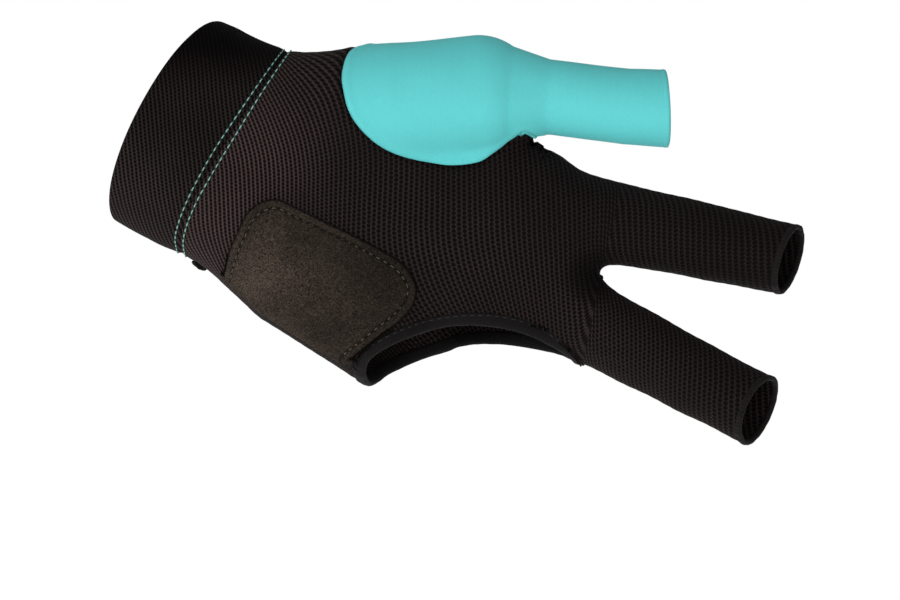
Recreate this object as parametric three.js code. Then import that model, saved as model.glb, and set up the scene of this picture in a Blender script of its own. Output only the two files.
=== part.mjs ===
// A left-hand billiard glove, held in the shape that it has when worn.
// Units are millimetres. +X runs from the wrist to the fingers, +Z points to the thumb side
// and the palm faces -Y. The origin is the middle of the wrist opening.
import * as THREE from "three";

// Walls: how far the faces of each lie outside the surface of the knit
const WALLS = {
  knit: { out: 0, in: -1.1 },
  cuff: { out: 0.4, in: -1.6 },
  patch: { out: 1.9, in: 0.9 },
  binding: { out: 0.4, in: -1.4 },
};
const GAP = 0.3;
const BINDING_WIDTH = 3.5;
const CORNER_SLACK = 0.6;

// Places along the outline, seen square to the palm
const THUMB_PANEL_START = { x: 39.6, z: 40.5 };
const THUMB_CROTCH = { x: 95.0, z: 38.9 };
const FINGER_CROTCH = { x: 129.8, z: 12.7 };
const RING_CROTCH = { x: 133.6, z: -13.9 };
const OPENING_SIDE = { x: 84.8, z: -41.8 };
const INDEX_ROOT = { x: 125.0, z: 36.0 };

// Hems: where each meets the thumb-side and little-finger-side outline, and how far it bows
// towards the wrist on the palm side and towards the fingertip on the back
const HEMS = {
  thumb: { top: { x: 122.1, z: 72.2 }, low: { x: 131.4, z: 53.2 }, palmBow: -0.8, backBow: 1.5 },
  index: { top: { x: 175.0, z: 47.0 }, low: { x: 177.3, z: 28.9 }, palmBow: 3.2, backBow: 3.2 },
  middle: { top: { x: 186.0, z: 5.8 }, low: { x: 186.6, z: -13.0 }, palmBow: 4.6, backBow: 3.6 },
};
const WRIST_EDGE = { lowX: 0.7, topX: 3.3, palmBow: 8.6, backBow: 7.0 };

// Where the cuff is sewn on: X at both outlines, and places in between on each side
const CUFF_JOIN = {
  lowX: 21.4,
  topX: 24.2,
  palm: [
    { x: 19.4, z: -29.0 },
    { x: 18.5, z: -24.5 },
    { x: 18.2, z: -17.5 },
    { x: 18.6, z: -9.6 },
    { x: 19.4, z: -1.0 },
    { x: 21.7, z: 16.0 },
  ],
  back: [
    { x: 25.0, z: -17.0 },
    { x: 26.2, z: 0 },
    { x: 26.4, z: 16.0 },
  ],
};

// The hollow's form: a chain of round sections for each limb that it takes
const LIMBS = {
  radius: [
    { x: -30, y: 7, z: 12, r: 16.8 },
    { x: 8, y: -2, z: 13.0, r: 17.3 },
    { x: 32, y: -8, z: 13.2, r: 15.4 },
  ],
  ulna: [
    { x: -30, y: 7, z: -11, r: 17.4 },
    { x: 14, y: -3.5, z: -12.3, r: 19.1 },
    { x: 34, y: -8, z: -13.3, r: 15.9 },
  ],
  wrist: [
    { x: -30, y: 7, z: 0.5, r: 18.4 },
    { x: 10, y: -2.6, z: 0.5, r: 18.2 },
    { x: 44, y: -8, z: 0, r: 12.5 },
  ],
  heel: [
    { x: 30, y: -9, z: -16, r: 13.0 },
    { x: 52, y: -12, z: -23.8, r: 14.2 },
    { x: 80, y: -11, z: -28.4, r: 12.8 },
  ],
  little: [
    { x: 45, y: -6, z: -19, r: 12.0 },
    { x: 92, y: -7, z: -30, r: 10.8 },
  ],
  ring: [
    { x: 45, y: -7, z: -7, r: 12.0 },
    { x: 106, y: -9, z: -12.3, r: 11.4 },
    { x: 118, y: -11.5, z: -18, r: 10.2 },
  ],
  middle: [
    { x: 45, y: -7, z: 3, r: 12.0 },
    { x: 108, y: -9, z: 1.0, r: 11.0 },
    { x: 136, y: -13, z: -1.5, r: 9.8 },
    { x: 190, y: -28, z: -3.9, r: 9.0 },
  ],
  index: [
    { x: 45, y: -7, z: 13, r: 12.0 },
    { x: 104, y: -9, z: 21.7, r: 10.6 },
    { x: 128, y: -12, z: 27.2, r: 10.1 },
    { x: 155, y: -19, z: 33.4, r: 9.6 },
    { x: 190, y: -29, z: 41.2, r: 8.2 },
  ],
  web: [
    { x: 90, y: -8, z: 12, r: 10.0 },
    { x: 115.4, y: -10.5, z: 12.4, r: 9.0 },
  ],
  thumbWeb: [
    { x: 90, y: -12, z: 27.2, r: 3.9 },
    { x: 104, y: -10.5, z: 29.3, r: 6.1 },
  ],
  thumb: [
    { x: 34, y: -12, z: 19.4, r: 13.0 },
    { x: 58, y: -15, z: 32.0, r: 14.8 },
    { x: 78, y: -16, z: 44.0, r: 14.9 },
    { x: 96, y: -17, z: 51.3, r: 9.1 },
    { x: 117, y: -18, z: 57.7, r: 9.5 },
    { x: 140, y: -19, z: 67.3, r: 10.0 },
  ],
};
const BLEND = 3.0;
const SURFACE_LEVEL = 1.1;

// Edge of the thumb panel on each side of the hand, from the outline to the thumb crotch
const THUMB_EDGE = {
  palm: [
    { x: 40.3, z: 34.4 },
    { x: 44.2, z: 26.5 },
    { x: 50.5, z: 21.2 },
    { x: 59.2, z: 18.3 },
    { x: 66.6, z: 18.5 },
    { x: 73.2, z: 20.1 },
    { x: 79.6, z: 22.4 },
    { x: 85.4, z: 25.7 },
    { x: 91.8, z: 35.8 },
  ],
  back: [
    { x: 42.5, z: 35.0 },
    { x: 50.0, z: 29.0 },
    { x: 62.0, z: 26.5 },
    { x: 75.0, z: 27.5 },
    { x: 86.0, z: 31.0 },
    { x: 92.0, z: 35.5 },
  ],
};

// Free edge of the ring and little finger opening, from the outline to the ring crotch
const OPENING_EDGE = {
  palm: [
    { x: 81.6, z: -37.4 },
    { x: 85.4, z: -30.6 },
    { x: 93.1, z: -22.6 },
    { x: 104.6, z: -15.4 },
    { x: 117.7, z: -11.7 },
    { x: 128.0, z: -12.0 },
  ],
  back: [
    { x: 88.5, z: -38.0 },
    { x: 94.5, z: -31.0 },
    { x: 101.5, z: -24.5 },
    { x: 109.5, z: -19.0 },
    { x: 118.5, z: -15.5 },
    { x: 128.0, z: -13.2 },
  ],
};

// Sides of the heel patch on the palm
const PATCH_SIDES = {
  top: [
    { x: 36.0, z: -8.8 },
    { x: 40.0, z: -7.0 },
    { x: 47.0, z: -6.5 },
    { x: 61.0, z: -7.7 },
    { x: 74.9, z: -8.4 },
    { x: 82.0, z: -10.0 },
    { x: 85.2, z: -13.0 },
  ],
  fingers: [
    { x: 85.2, z: -13.0 },
    { x: 86.2, z: -17.0 },
    { x: 85.5, z: -21.5 },
    { x: 81.0, z: -31.0 },
    { x: 76.6, z: -39.4 },
  ],
  wrist: [
    { x: 36.0, z: -8.8 },
    { x: 34.2, z: -14.0 },
    { x: 33.6, z: -20.3 },
    { x: 33.4, z: -26.3 },
    { x: 35.2, z: -32.2 },
  ],
};
const PATCH_SEAM_INSET = 1.3;
const PATCH_CROWDING = 1.2;

// Numbers of faces
const SIDE_ROWS = 6;
const OPENING_STEPS = 14;
const FINGER_STEPS = 8;
const THUMB_EDGE_STEPS = 12;
const WRIST_TO_THUMB_ROWS = 3;
const CROTCH_ROWS = [0.36, 0.64, 0.83, 0.945, 1];
const LEG_ROWS = { index: 9, middle: 10 };
const THUMB_ROWS = 13;
const CUFF_ROWS = 5;
const CUFF_STEPS = 16;
const PATCH_STEPS = { long: 10, wide: 6 };

const PALM = -1;
const BACK = 1;

const mix = (a, b, t) => a + (b - a) * t;

const finishes = {
  mesh: { color: 0x201919, roughness: 0.82, metalness: 0 },
  cuff: { color: 0x1c1616, roughness: 0.85, metalness: 0 },
  lycra: { color: 0x66d1d2, roughness: 0.6, metalness: 0 },
  suede: { color: 0x372f2a, roughness: 0.95, metalness: 0 },
  tape: { color: 0x171313, roughness: 0.8, metalness: 0 },
};

// The form as a field: below zero inside the limbs, and about the distance from them outside
const spans = [];
Object.values(LIMBS).forEach((rows, limb) => {
  for (let i = 0; i + 1 < rows.length; i += 1) {
    const a = rows[i];
    const b = rows[i + 1];
    const along = { x: b.x - a.x, y: b.y - a.y, z: b.z - a.z };
    const square = along.x ** 2 + along.y ** 2 + along.z ** 2;
    spans.push({ limb, a, along, square, swell: b.r - a.r });
  }
});
const limbCount = Object.keys(LIMBS).length;

function field(x, y, z, slope) {
  const near = new Array(limbCount).fill(Infinity);
  const ways = new Array(limbCount).fill(null);
  for (const s of spans) {
    const dx = x - s.a.x;
    const dy = y - s.a.y;
    const dz = z - s.a.z;
    const part = (dx * s.along.x + dy * s.along.y + dz * s.along.z) / s.square;
    const t = Math.min(1, Math.max(0, part));
    const ex = dx - t * s.along.x;
    const ey = dy - t * s.along.y;
    const ez = dz - t * s.along.z;
    const away = Math.hypot(ex, ey, ez);
    const distance = away - (s.a.r + t * s.swell);
    if (distance < near[s.limb]) {
      near[s.limb] = distance;
      ways[s.limb] = [ex / away, ey / away, ez / away];
    }
  }
  const least = Math.min(...near);
  let total = 0;
  const sum = [0, 0, 0];
  near.forEach((distance, limb) => {
    const share = Math.exp((least - distance) / BLEND);
    total += share;
    sum[0] += share * ways[limb][0];
    sum[1] += share * ways[limb][1];
    sum[2] += share * ways[limb][2];
  });
  if (slope) slope.set(sum[0] / total, sum[1] / total, sum[2] / total);
  return least - BLEND * Math.log(total);
}

// Rounds of each search, and the distances that the searches reach
const HALVINGS = 44;
const NEWTON_ROUNDS = 12;
const DEPTH_RANGE = { low: -60, high: 40 };
const LIFT_REACH = 45;
const SIDE_REACH = 70;

// Depth at which the form is widest under a point of the plan
function middleY(x, z) {
  let { low, high } = DEPTH_RANGE;
  for (let i = 0; i < HALVINGS; i += 1) {
    const third = (high - low) / 3;
    if (field(x, low + third, z) < field(x, high - third, z)) high -= third;
    else low += third;
  }
  return (low + high) / 2;
}

// Moves a plan point square to the outline until it lies on it
function toOutline(point) {
  const slope = new THREE.Vector3();
  let { x, z } = point;
  for (let i = 0; i < NEWTON_ROUNDS; i += 1) {
    const value = field(x, middleY(x, z), z, slope);
    const square = slope.x ** 2 + slope.z ** 2;
    x -= ((value - SURFACE_LEVEL) * slope.x) / square;
    z -= ((value - SURFACE_LEVEL) * slope.z) / square;
  }
  return { x, z };
}

// The outline of the hand in plan, walked from the thumb side of the wrist round the fingers
const WALK = { start: { x: -12, z: 31 }, endX: -10, step: 0.6, most: 2000 };
function walkOutline() {
  const slope = new THREE.Vector3();
  const points = [toOutline(WALK.start)];
  while (points.length < WALK.most) {
    const last = points[points.length - 1];
    field(last.x, middleY(last.x, last.z), last.z, slope);
    const step = WALK.step / Math.hypot(slope.x, slope.z);
    const next = toOutline({ x: last.x + step * slope.z, z: last.z - step * slope.x });
    points.push(next);
    if (next.z < 0 && next.x < WALK.endX) break;
  }
  return points;
}

// A polyline in plan with its lengths, read by length
function measured(points) {
  const lengths = [0];
  for (let i = 1; i < points.length; i += 1) {
    const step = Math.hypot(points[i].x - points[i - 1].x, points[i].z - points[i - 1].z);
    lengths.push(lengths[i - 1] + step);
  }
  return { points, lengths, length: lengths[lengths.length - 1] };
}

function pointAt(line, length) {
  const want = Math.min(line.length, Math.max(0, length));
  let i = 1;
  while (i < line.lengths.length - 1 && line.lengths[i] < want) i += 1;
  const t = (want - line.lengths[i - 1]) / (line.lengths[i] - line.lengths[i - 1]);
  const a = line.points[i - 1];
  const b = line.points[i];
  return { x: a.x + t * (b.x - a.x), z: a.z + t * (b.z - a.z) };
}

// The length along a line of its point nearest to a place
function lengthNear(line, place) {
  let best = Infinity;
  let found = 0;
  for (let i = 1; i < line.points.length; i += 1) {
    const a = line.points[i - 1];
    const b = line.points[i];
    const run = { x: b.x - a.x, z: b.z - a.z };
    const part = ((place.x - a.x) * run.x + (place.z - a.z) * run.z) / (run.x ** 2 + run.z ** 2);
    const t = Math.min(1, Math.max(0, part));
    const gap = Math.hypot(a.x + t * run.x - place.x, a.z + t * run.z - place.z);
    if (gap < best) {
      best = gap;
      found = mix(line.lengths[i - 1], line.lengths[i], t);
    }
  }
  return found;
}

// The innermost point of a crotch, within a few millimetres of a place
const CROTCH_SEARCH = 7;
function crotchLength(line, place) {
  const about = lengthNear(line, place);
  let found = about;
  let best = Infinity;
  line.points.forEach((p, i) => {
    if (Math.abs(line.lengths[i] - about) < CROTCH_SEARCH && p.x < best) {
      best = p.x;
      found = line.lengths[i];
    }
  });
  return found;
}

const outline = measured(walkOutline());
const marks = {
  thumbPanelStart: lengthNear(outline, THUMB_PANEL_START),
  thumbTop: lengthNear(outline, HEMS.thumb.top),
  thumbLow: lengthNear(outline, HEMS.thumb.low),
  thumbCrotch: crotchLength(outline, THUMB_CROTCH),
  indexRoot: lengthNear(outline, INDEX_ROOT),
  indexTop: lengthNear(outline, HEMS.index.top),
  indexLow: lengthNear(outline, HEMS.index.low),
  fingerCrotch: crotchLength(outline, FINGER_CROTCH),
  middleTop: lengthNear(outline, HEMS.middle.top),
  middleLow: lengthNear(outline, HEMS.middle.low),
  ringCrotch: lengthNear(outline, RING_CROTCH),
  openingSide: lengthNear(outline, OPENING_SIDE),
};

// The surface point over a plan point, on one side of the hand
function lift(place, side) {
  let inside = middleY(place.x, place.z);
  let outside = inside + side * LIFT_REACH;
  for (let i = 0; i < HALVINGS; i += 1) {
    const half = (inside + outside) / 2;
    if (field(place.x, half, place.z) < SURFACE_LEVEL) inside = half;
    else outside = half;
  }
  return new THREE.Vector3(place.x, (inside + outside) / 2, place.z);
}

// Moves a point square to the surface until it lies on it
function toSurface(point) {
  const slope = new THREE.Vector3();
  const moved = point.clone();
  for (let i = 0; i < NEWTON_ROUNDS; i += 1) {
    const value = field(moved.x, moved.y, moved.z, slope);
    moved.addScaledVector(slope, (SURFACE_LEVEL - value) / slope.lengthSq());
  }
  return moved;
}

function normalAt(point) {
  const slope = new THREE.Vector3();
  field(point.x, point.y, point.z, slope);
  return slope.normalize();
}

// The point over an outline point where the surface turns from palm to back
function turnPoint(place) {
  return new THREE.Vector3(place.x, middleY(place.x, place.z), place.z);
}

const rounded = (t) => (1 - Math.cos(Math.PI * t)) / 2;

// A line across one side of a tube, from the low outline to the top one, bowed along X
function acrossLine(low, top, bow, side, steps) {
  const line = [];
  for (let j = 0; j <= steps; j += 1) {
    const t = rounded(j / steps);
    const push = side * bow * Math.sin((Math.PI * j) / steps);
    line.push({ x: mix(low.x, top.x, t) + push, z: mix(low.z, top.z, t) });
  }
  return line;
}

// A closed solid from an outer and an inner sheet of the same faces
function closedSolid(outer, inner, quads) {
  const position = [];
  [...outer, ...inner].forEach((p) => position.push(p.x, p.y, p.z));
  const count = outer.length;
  const index = [];
  const face = (a, b, c, d) => index.push(a, b, c, a, c, d);
  const edges = new Map();
  for (const [a, b, c, d] of quads) {
    face(a, b, c, d);
    face(d + count, c + count, b + count, a + count);
    [[a, b], [b, c], [c, d], [d, a]].forEach(([from, to]) => {
      if (edges.has(`${to},${from}`)) edges.delete(`${to},${from}`);
      else edges.set(`${from},${to}`, [from, to]);
    });
  }
  edges.forEach(([from, to]) => face(to, from, from + count, to + count));
  let volume = 0;
  const corner = (i) => new THREE.Vector3().fromArray(position, 3 * index[i]);
  for (let i = 0; i < index.length; i += 3) {
    volume += corner(i).dot(corner(i + 1).cross(corner(i + 2)));
  }
  if (volume < 0) index.reverse();
  const geometry = new THREE.BufferGeometry();
  geometry.setAttribute("position", new THREE.Float32BufferAttribute(position, 3));
  geometry.setIndex(index);
  geometry.computeVertexNormals();
  return geometry;
}

// The shares of a chain of points' length at which each of them lies
function shares(points) {
  const lengths = [0];
  for (let i = 1; i < points.length; i += 1) {
    lengths.push(lengths[i - 1] + points[i].distanceTo(points[i - 1]));
  }
  return lengths.map((length) => length / lengths[lengths.length - 1]);
}

// Collects surface points once each, so that neighbouring blocks share theirs, and gives them a wall
const SAME_POINT = 0.01;
function sheetBuilder(wall) {
  const known = [];
  const outer = [];
  const inner = [];
  const quads = [];
  const add = (p, normal) => {
    const found = known.findIndex((q) => q.distanceTo(p) < SAME_POINT);
    if (found >= 0) return found;
    known.push(p);
    outer.push(p.clone().addScaledVector(normal, wall.out));
    inner.push(p.clone().addScaledVector(normal, wall.in));
    return known.length - 1;
  };
  const point = (p) => add(p, normalAt(p));

  // A point of a side seam, half a gap to one side of the turn, or on it with no side
  const seam = (place, side = 0) => {
    const p = turnPoint(place);
    const normal = normalAt(p).setY(0).normalize();
    return add(p.setY(p.y + (side * GAP) / 2), normal);
  };

  // A line across a tube: its ends on the outline and the rest over the plan points
  const across = (line, side, seamSide) => line.map((p, j) => {
    const atEnd = j === 0 || j === line.length - 1;
    return atEnd ? seam(p, seamSide) : point(lift(p, side));
  });

  // Fills the space between four edges with faces, by blending the edges and moving
  // each point to the surface: low and high run with the rows, first and last across them
  const fill = (first, last, low, high, turned) => {
    const at = (id) => known[id];
    const rows = low.length - 1;
    const columns = first.length - 1;
    const shareOf = (ids) => shares(ids.map(at));
    const [lowShare, highShare, firstShare, lastShare] = [low, high, first, last].map(shareOf);
    const corners = [first[0], first[columns], last[0], last[columns]].map(at);
    const grid = low.map((id, i) => first.map((other, j) => {
      if (i === 0) return first[j];
      if (i === rows) return last[j];
      if (j === 0) return low[i];
      if (j === columns) return high[i];
      const v = mix(lowShare[i], highShare[i], j / columns);
      const u = mix(firstShare[j], lastShare[j], i / rows);
      const p = new THREE.Vector3();
      p.addScaledVector(at(first[j]), 1 - v).addScaledVector(at(last[j]), v);
      p.addScaledVector(at(low[i]), 1 - u).addScaledVector(at(high[i]), u);
      p.addScaledVector(corners[0], -(1 - u) * (1 - v)).addScaledVector(corners[1], -u * (1 - v));
      p.addScaledVector(corners[2], -(1 - u) * v).addScaledVector(corners[3], -u * v);
      return point(toSurface(p));
    }));
    for (let i = 0; i < rows; i += 1) {
      for (let j = 0; j < columns; j += 1) {
        const quad = [grid[i][j], grid[i][j + 1], grid[i + 1][j + 1], grid[i + 1][j]];
        quads.push(turned ? quad.reverse() : quad);
      }
    }
    return grid;
  };
  return { point, seam, across, fill, solid: () => closedSolid(outer, inner, quads) };
}

// A smooth line on the surface through plan points, ending on the outline at both ends
function surfaceLine(start, rows, end, side) {
  const points = [turnPoint(start), ...rows.map((p) => lift(p, side)), turnPoint(end)];
  return new THREE.CatmullRomCurve3(points, false, "centripetal");
}

// Evenly spaced points of a surface line, moved over the surface towards the thumb
function beside(line, side, steps, distance) {
  const points = [];
  for (let i = 0; i <= steps; i += 1) {
    const p = toSurface(line.getPointAt(i / steps));
    const across = normalAt(p).cross(line.getTangentAt(i / steps)).normalize();
    points.push(toSurface(p.addScaledVector(across, -side * distance)));
  }
  return points;
}

const sideName = (side) => (side === PALM ? "palm" : "back");
const mark = (key) => pointAt(outline, marks[key]);
const thumbEdge = {};
[PALM, BACK].forEach((side) => {
  const name = sideName(side);
  thumbEdge[name] = surfaceLine(mark("thumbPanelStart"), THUMB_EDGE[name], mark("thumbCrotch"), side);
});

// The opening's edge: over the palm to the ring crotch and home over the back
const openingEdge = new THREE.CatmullRomCurve3([
  turnPoint(mark("openingSide")),
  ...OPENING_EDGE.palm.map((p) => lift(p, PALM)),
  turnPoint(mark("ringCrotch")),
  ...OPENING_EDGE.back.map((p) => lift(p, BACK)).reverse(),
], true, "centripetal");

// Points of that edge on one side, from the outline to the crotch, moved into the cloth
function besideOpening(side, distance) {
  return Array.from({ length: OPENING_STEPS + 1 }, (_, i) => {
    const part = i / (2 * OPENING_STEPS);
    const t = side === PALM ? part : (1 - part) % 1;
    const p = toSurface(openingEdge.getPoint(t));
    const across = normalAt(p).cross(openingEdge.getTangent(t)).normalize();
    return toSurface(p.addScaledVector(across, distance));
  });
}

// Evenly spaced outline points between two marks
function outlineRun(from, to, steps) {
  return Array.from({ length: steps + 1 }, (_, i) => pointAt(outline, mix(from, to, i / steps)));
}

// The outline point at a given X, above or below the middle
function sideAt(x, way) {
  let inside = 0;
  let outside = way * SIDE_REACH;
  for (let i = 0; i < HALVINGS; i += 1) {
    const half = (inside + outside) / 2;
    if (field(x, middleY(x, half), half) < SURFACE_LEVEL) inside = half;
    else outside = half;
  }
  return { x, z: (inside + outside) / 2 };
}

const bowOf = (edge, side) => (side === PALM ? edge.palmBow : edge.backBow);

// Plan points along a smooth line through named ones, spaced by an ease
function planLine(rows, steps, ease) {
  const points = rows.map((p) => new THREE.Vector3(p.x, 0, p.z));
  const curve = new THREE.CatmullRomCurve3(points, false, "centripetal");
  return Array.from({ length: steps + 1 }, (_, i) => curve.getPointAt(ease(i / steps)));
}

// The cuff's join on one side, from the low outline to the top one, moved along X by a shift
function joinLine(side, shift, steps) {
  const rows = [
    sideAt(CUFF_JOIN.lowX + shift, -1),
    ...CUFF_JOIN[sideName(side)].map(({ x, z }) => ({ x: x + shift, z })),
    sideAt(CUFF_JOIN.topX + shift, 1),
  ];
  return planLine(rows, steps, rounded);
}

// One side of the glove's shell, with its half of the index and middle finger sleeves
function shellPanel(side) {
  const name = sideName(side);
  const sheet = sheetBuilder(WALLS.knit);
  const half = GAP / 2;
  const seamRun = (from, to, steps) => outlineRun(from, to, steps).map((p) => sheet.seam(p, side));

  // The wrist end, then the little finger side: outline and opening edge
  const join = joinLine(side, half, 2 * FINGER_STEPS);
  const first = sheet.across(join, side, side);
  const openingLine = besideOpening(side, BINDING_WIDTH + GAP);
  const openingStart = lengthNear(outline, openingLine[0]) + CORNER_SLACK;
  const ringCrotch = lengthNear(outline, openingLine[OPENING_STEPS]) - CORNER_SLACK;
  const low = [
    ...seamRun(lengthNear(outline, join[0]), openingStart, SIDE_ROWS),
    ...openingLine.slice(1, -1).map(sheet.point),
    sheet.seam(pointAt(outline, ringCrotch), side),
  ];
  low[0] = first[0];

  // The thumb side: outline, thumb panel edge and outline again
  const edgeLine = beside(thumbEdge[name], side, THUMB_EDGE_STEPS, -half);
  const pastCrotch = marks.thumbCrotch + half;
  const joinTop = lengthNear(outline, join[2 * FINGER_STEPS]);
  const high = [
    ...seamRun(joinTop, marks.thumbPanelStart - half, WRIST_TO_THUMB_ROWS),
    ...edgeLine.slice(1, -1).map(sheet.point),
    sheet.seam(pointAt(outline, pastCrotch), side),
    ...CROTCH_ROWS.map((t) => sheet.seam(pointAt(outline, mix(pastCrotch, marks.indexRoot, t)), side)),
  ];
  high[0] = first[2 * FINGER_STEPS];

  // The roots of the two finger sleeves
  const fingerCrotch = pointAt(outline, marks.fingerCrotch);
  const middleBase = acrossLine(pointAt(outline, ringCrotch), fingerCrotch, 0, side, FINGER_STEPS);
  const indexBase = acrossLine(fingerCrotch, pointAt(outline, marks.indexRoot), 0, side, FINGER_STEPS);
  const middleRoot = sheet.across(middleBase, side, side);
  const indexRoot = sheet.across(indexBase, side, side);
  sheet.fill(first, [...middleRoot, ...indexRoot.slice(1)], low, high);

  const sleeve = (hem, root, lowRun, highRun, rows) => {
    const ends = [lowRun[1], highRun[1]].map((length) => pointAt(outline, length));
    const hemLine = acrossLine(...ends, bowOf(hem, side), side, FINGER_STEPS);
    const hemIds = sheet.across(hemLine, side, side);
    sheet.fill(root, hemIds, seamRun(...lowRun, rows), seamRun(...highRun, rows));
  };
  const middle = { low: [ringCrotch, marks.middleLow], high: [marks.fingerCrotch, marks.middleTop] };
  const index = { low: [marks.fingerCrotch, marks.indexLow], high: [marks.indexRoot, marks.indexTop] };
  sleeve(HEMS.middle, middleRoot, middle.low, middle.high, LEG_ROWS.middle);
  sleeve(HEMS.index, indexRoot, index.low, index.high, LEG_ROWS.index);
  return sheet.solid();
}

function thumbSleeve() {
  const sheet = sheetBuilder(WALLS.knit);
  const half = GAP / 2;
  const seamRun = (from, to) => outlineRun(from, to, THUMB_ROWS).map((p) => sheet.seam(p));
  const topIds = seamRun(marks.thumbPanelStart + half, marks.thumbTop);
  const lowIds = seamRun(marks.thumbCrotch - half, marks.thumbLow);
  [PALM, BACK].forEach((side) => {
    const edge = beside(thumbEdge[sideName(side)], side, THUMB_EDGE_STEPS, half);
    const first = [topIds[0], ...edge.slice(1, -1).map(sheet.point), lowIds[0]];
    const top = pointAt(outline, marks.thumbTop);
    const low = pointAt(outline, marks.thumbLow);
    const end = acrossLine(top, low, bowOf(HEMS.thumb, side), side, THUMB_EDGE_STEPS);
    sheet.fill(first, sheet.across(end, side), topIds, lowIds, side === BACK);
  });
  return sheet.solid();
}

function wristBand() {
  const sheet = sheetBuilder(WALLS.cuff);
  const shift = -GAP / 2;
  const seamRun = (edgeX, joinX, way) => {
    const from = lengthNear(outline, sideAt(edgeX, way));
    const to = lengthNear(outline, sideAt(joinX + shift, way));
    return outlineRun(from, to, CUFF_ROWS).map((p) => sheet.seam(p));
  };
  const lowIds = seamRun(WRIST_EDGE.lowX, CUFF_JOIN.lowX, -1);
  const topIds = seamRun(WRIST_EDGE.topX, CUFF_JOIN.topX, 1);
  const low = sideAt(WRIST_EDGE.lowX, -1);
  const top = sideAt(WRIST_EDGE.topX, 1);
  [PALM, BACK].forEach((side) => {
    const line = (plan, row) => {
      const inside = plan.slice(1, -1).map((p) => sheet.point(lift(p, side)));
      return [lowIds[row], ...inside, topIds[row]];
    };
    const first = line(acrossLine(low, top, bowOf(WRIST_EDGE, side), side, CUFF_STEPS), 0);
    const last = line(joinLine(side, shift, CUFF_STEPS), CUFF_ROWS);
    sheet.fill(first, last, lowIds, topIds, side === BACK);
  });
  return sheet.solid();
}

// An outline point moved into the plan by the width of the side seam
function insetPlan(place) {
  const normal = normalAt(turnPoint(place));
  return { x: place.x - PATCH_SEAM_INSET * normal.x, z: place.z - PATCH_SEAM_INSET * normal.z };
}

function heelPatch() {
  const sheet = sheetBuilder(WALLS.patch);
  const evenly = (t) => t;
  const slowing = (t) => Math.sin((Math.PI / 2) * t) ** PATCH_CROWDING;
  const top = planLine(PATCH_SIDES.top, PATCH_STEPS.long, evenly);
  const fingers = planLine(PATCH_SIDES.fingers, PATCH_STEPS.wide, slowing);
  const wrist = planLine(PATCH_SIDES.wrist, PATCH_STEPS.wide, slowing);
  const from = lengthNear(outline, wrist[PATCH_STEPS.wide]);
  const to = lengthNear(outline, fingers[PATCH_STEPS.wide]);
  const seam = outlineRun(from, to, PATCH_STEPS.long).map(insetPlan);
  seam[0] = wrist[PATCH_STEPS.wide];
  seam[PATCH_STEPS.long] = fingers[PATCH_STEPS.wide];
  const [topIds, seamIds, wristIds, fingerIds] = [top, seam, wrist, fingers].map((line) => (
    line.map((p) => sheet.point(lift(p, PALM)))
  ));
  sheet.fill(topIds, seamIds, wristIds, fingerIds);
  return sheet.solid();
}

// The folded tape round the ring and little finger opening
function openingBinding() {
  const sheet = sheetBuilder(WALLS.binding);
  const strip = (distance) => {
    const palm = besideOpening(PALM, distance);
    const back = besideOpening(BACK, distance);
    const ring = [...palm, ...back.slice(1, OPENING_STEPS).reverse()].map(sheet.point);
    return [...ring, ring[0]];
  };
  const edge = strip(0);
  const inside = strip(BINDING_WIDTH);
  sheet.fill(edge, inside, [edge[0], inside[0]], [edge[0], inside[0]]);
  return sheet.solid();
}

const pieces = [
  { name: "wrist_band", geometry: wristBand(), finish: finishes.cuff },
  { name: "palm_panel", geometry: shellPanel(PALM), finish: finishes.mesh },
  { name: "back_panel", geometry: shellPanel(BACK), finish: finishes.mesh },
  { name: "thumb_sleeve", geometry: thumbSleeve(), finish: finishes.lycra },
  { name: "heel_patch", geometry: heelPatch(), finish: finishes.suede },
  { name: "opening_binding", geometry: openingBinding(), finish: finishes.tape },
];

const glove = new THREE.Group();
for (const { name, geometry, finish } of pieces) {
  const mesh = new THREE.Mesh(geometry, new THREE.MeshStandardMaterial(finish));
  mesh.name = name;
  glove.add(mesh);
}

export default glove;
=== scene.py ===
import bpy
import numpy as np
from mathutils import Matrix, Vector


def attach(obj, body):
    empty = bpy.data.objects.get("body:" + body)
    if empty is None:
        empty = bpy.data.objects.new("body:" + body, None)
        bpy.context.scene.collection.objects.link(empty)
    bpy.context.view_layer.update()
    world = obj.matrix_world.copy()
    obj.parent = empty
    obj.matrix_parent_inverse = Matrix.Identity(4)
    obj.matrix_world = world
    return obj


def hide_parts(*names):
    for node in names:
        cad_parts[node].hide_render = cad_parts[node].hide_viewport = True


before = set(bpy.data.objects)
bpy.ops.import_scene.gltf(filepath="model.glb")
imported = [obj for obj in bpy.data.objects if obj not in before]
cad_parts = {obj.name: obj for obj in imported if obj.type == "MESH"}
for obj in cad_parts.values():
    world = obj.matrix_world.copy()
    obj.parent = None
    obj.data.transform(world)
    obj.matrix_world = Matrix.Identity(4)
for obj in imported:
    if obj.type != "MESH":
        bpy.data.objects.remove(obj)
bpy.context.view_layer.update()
scene = bpy.context.scene
print("frame loaded")

# Every shape is worked out in millimetres: +X to the fingers, +Z to the thumb, the palm faces -Y
mm = 0.001
palm, back = -1, 1

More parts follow.
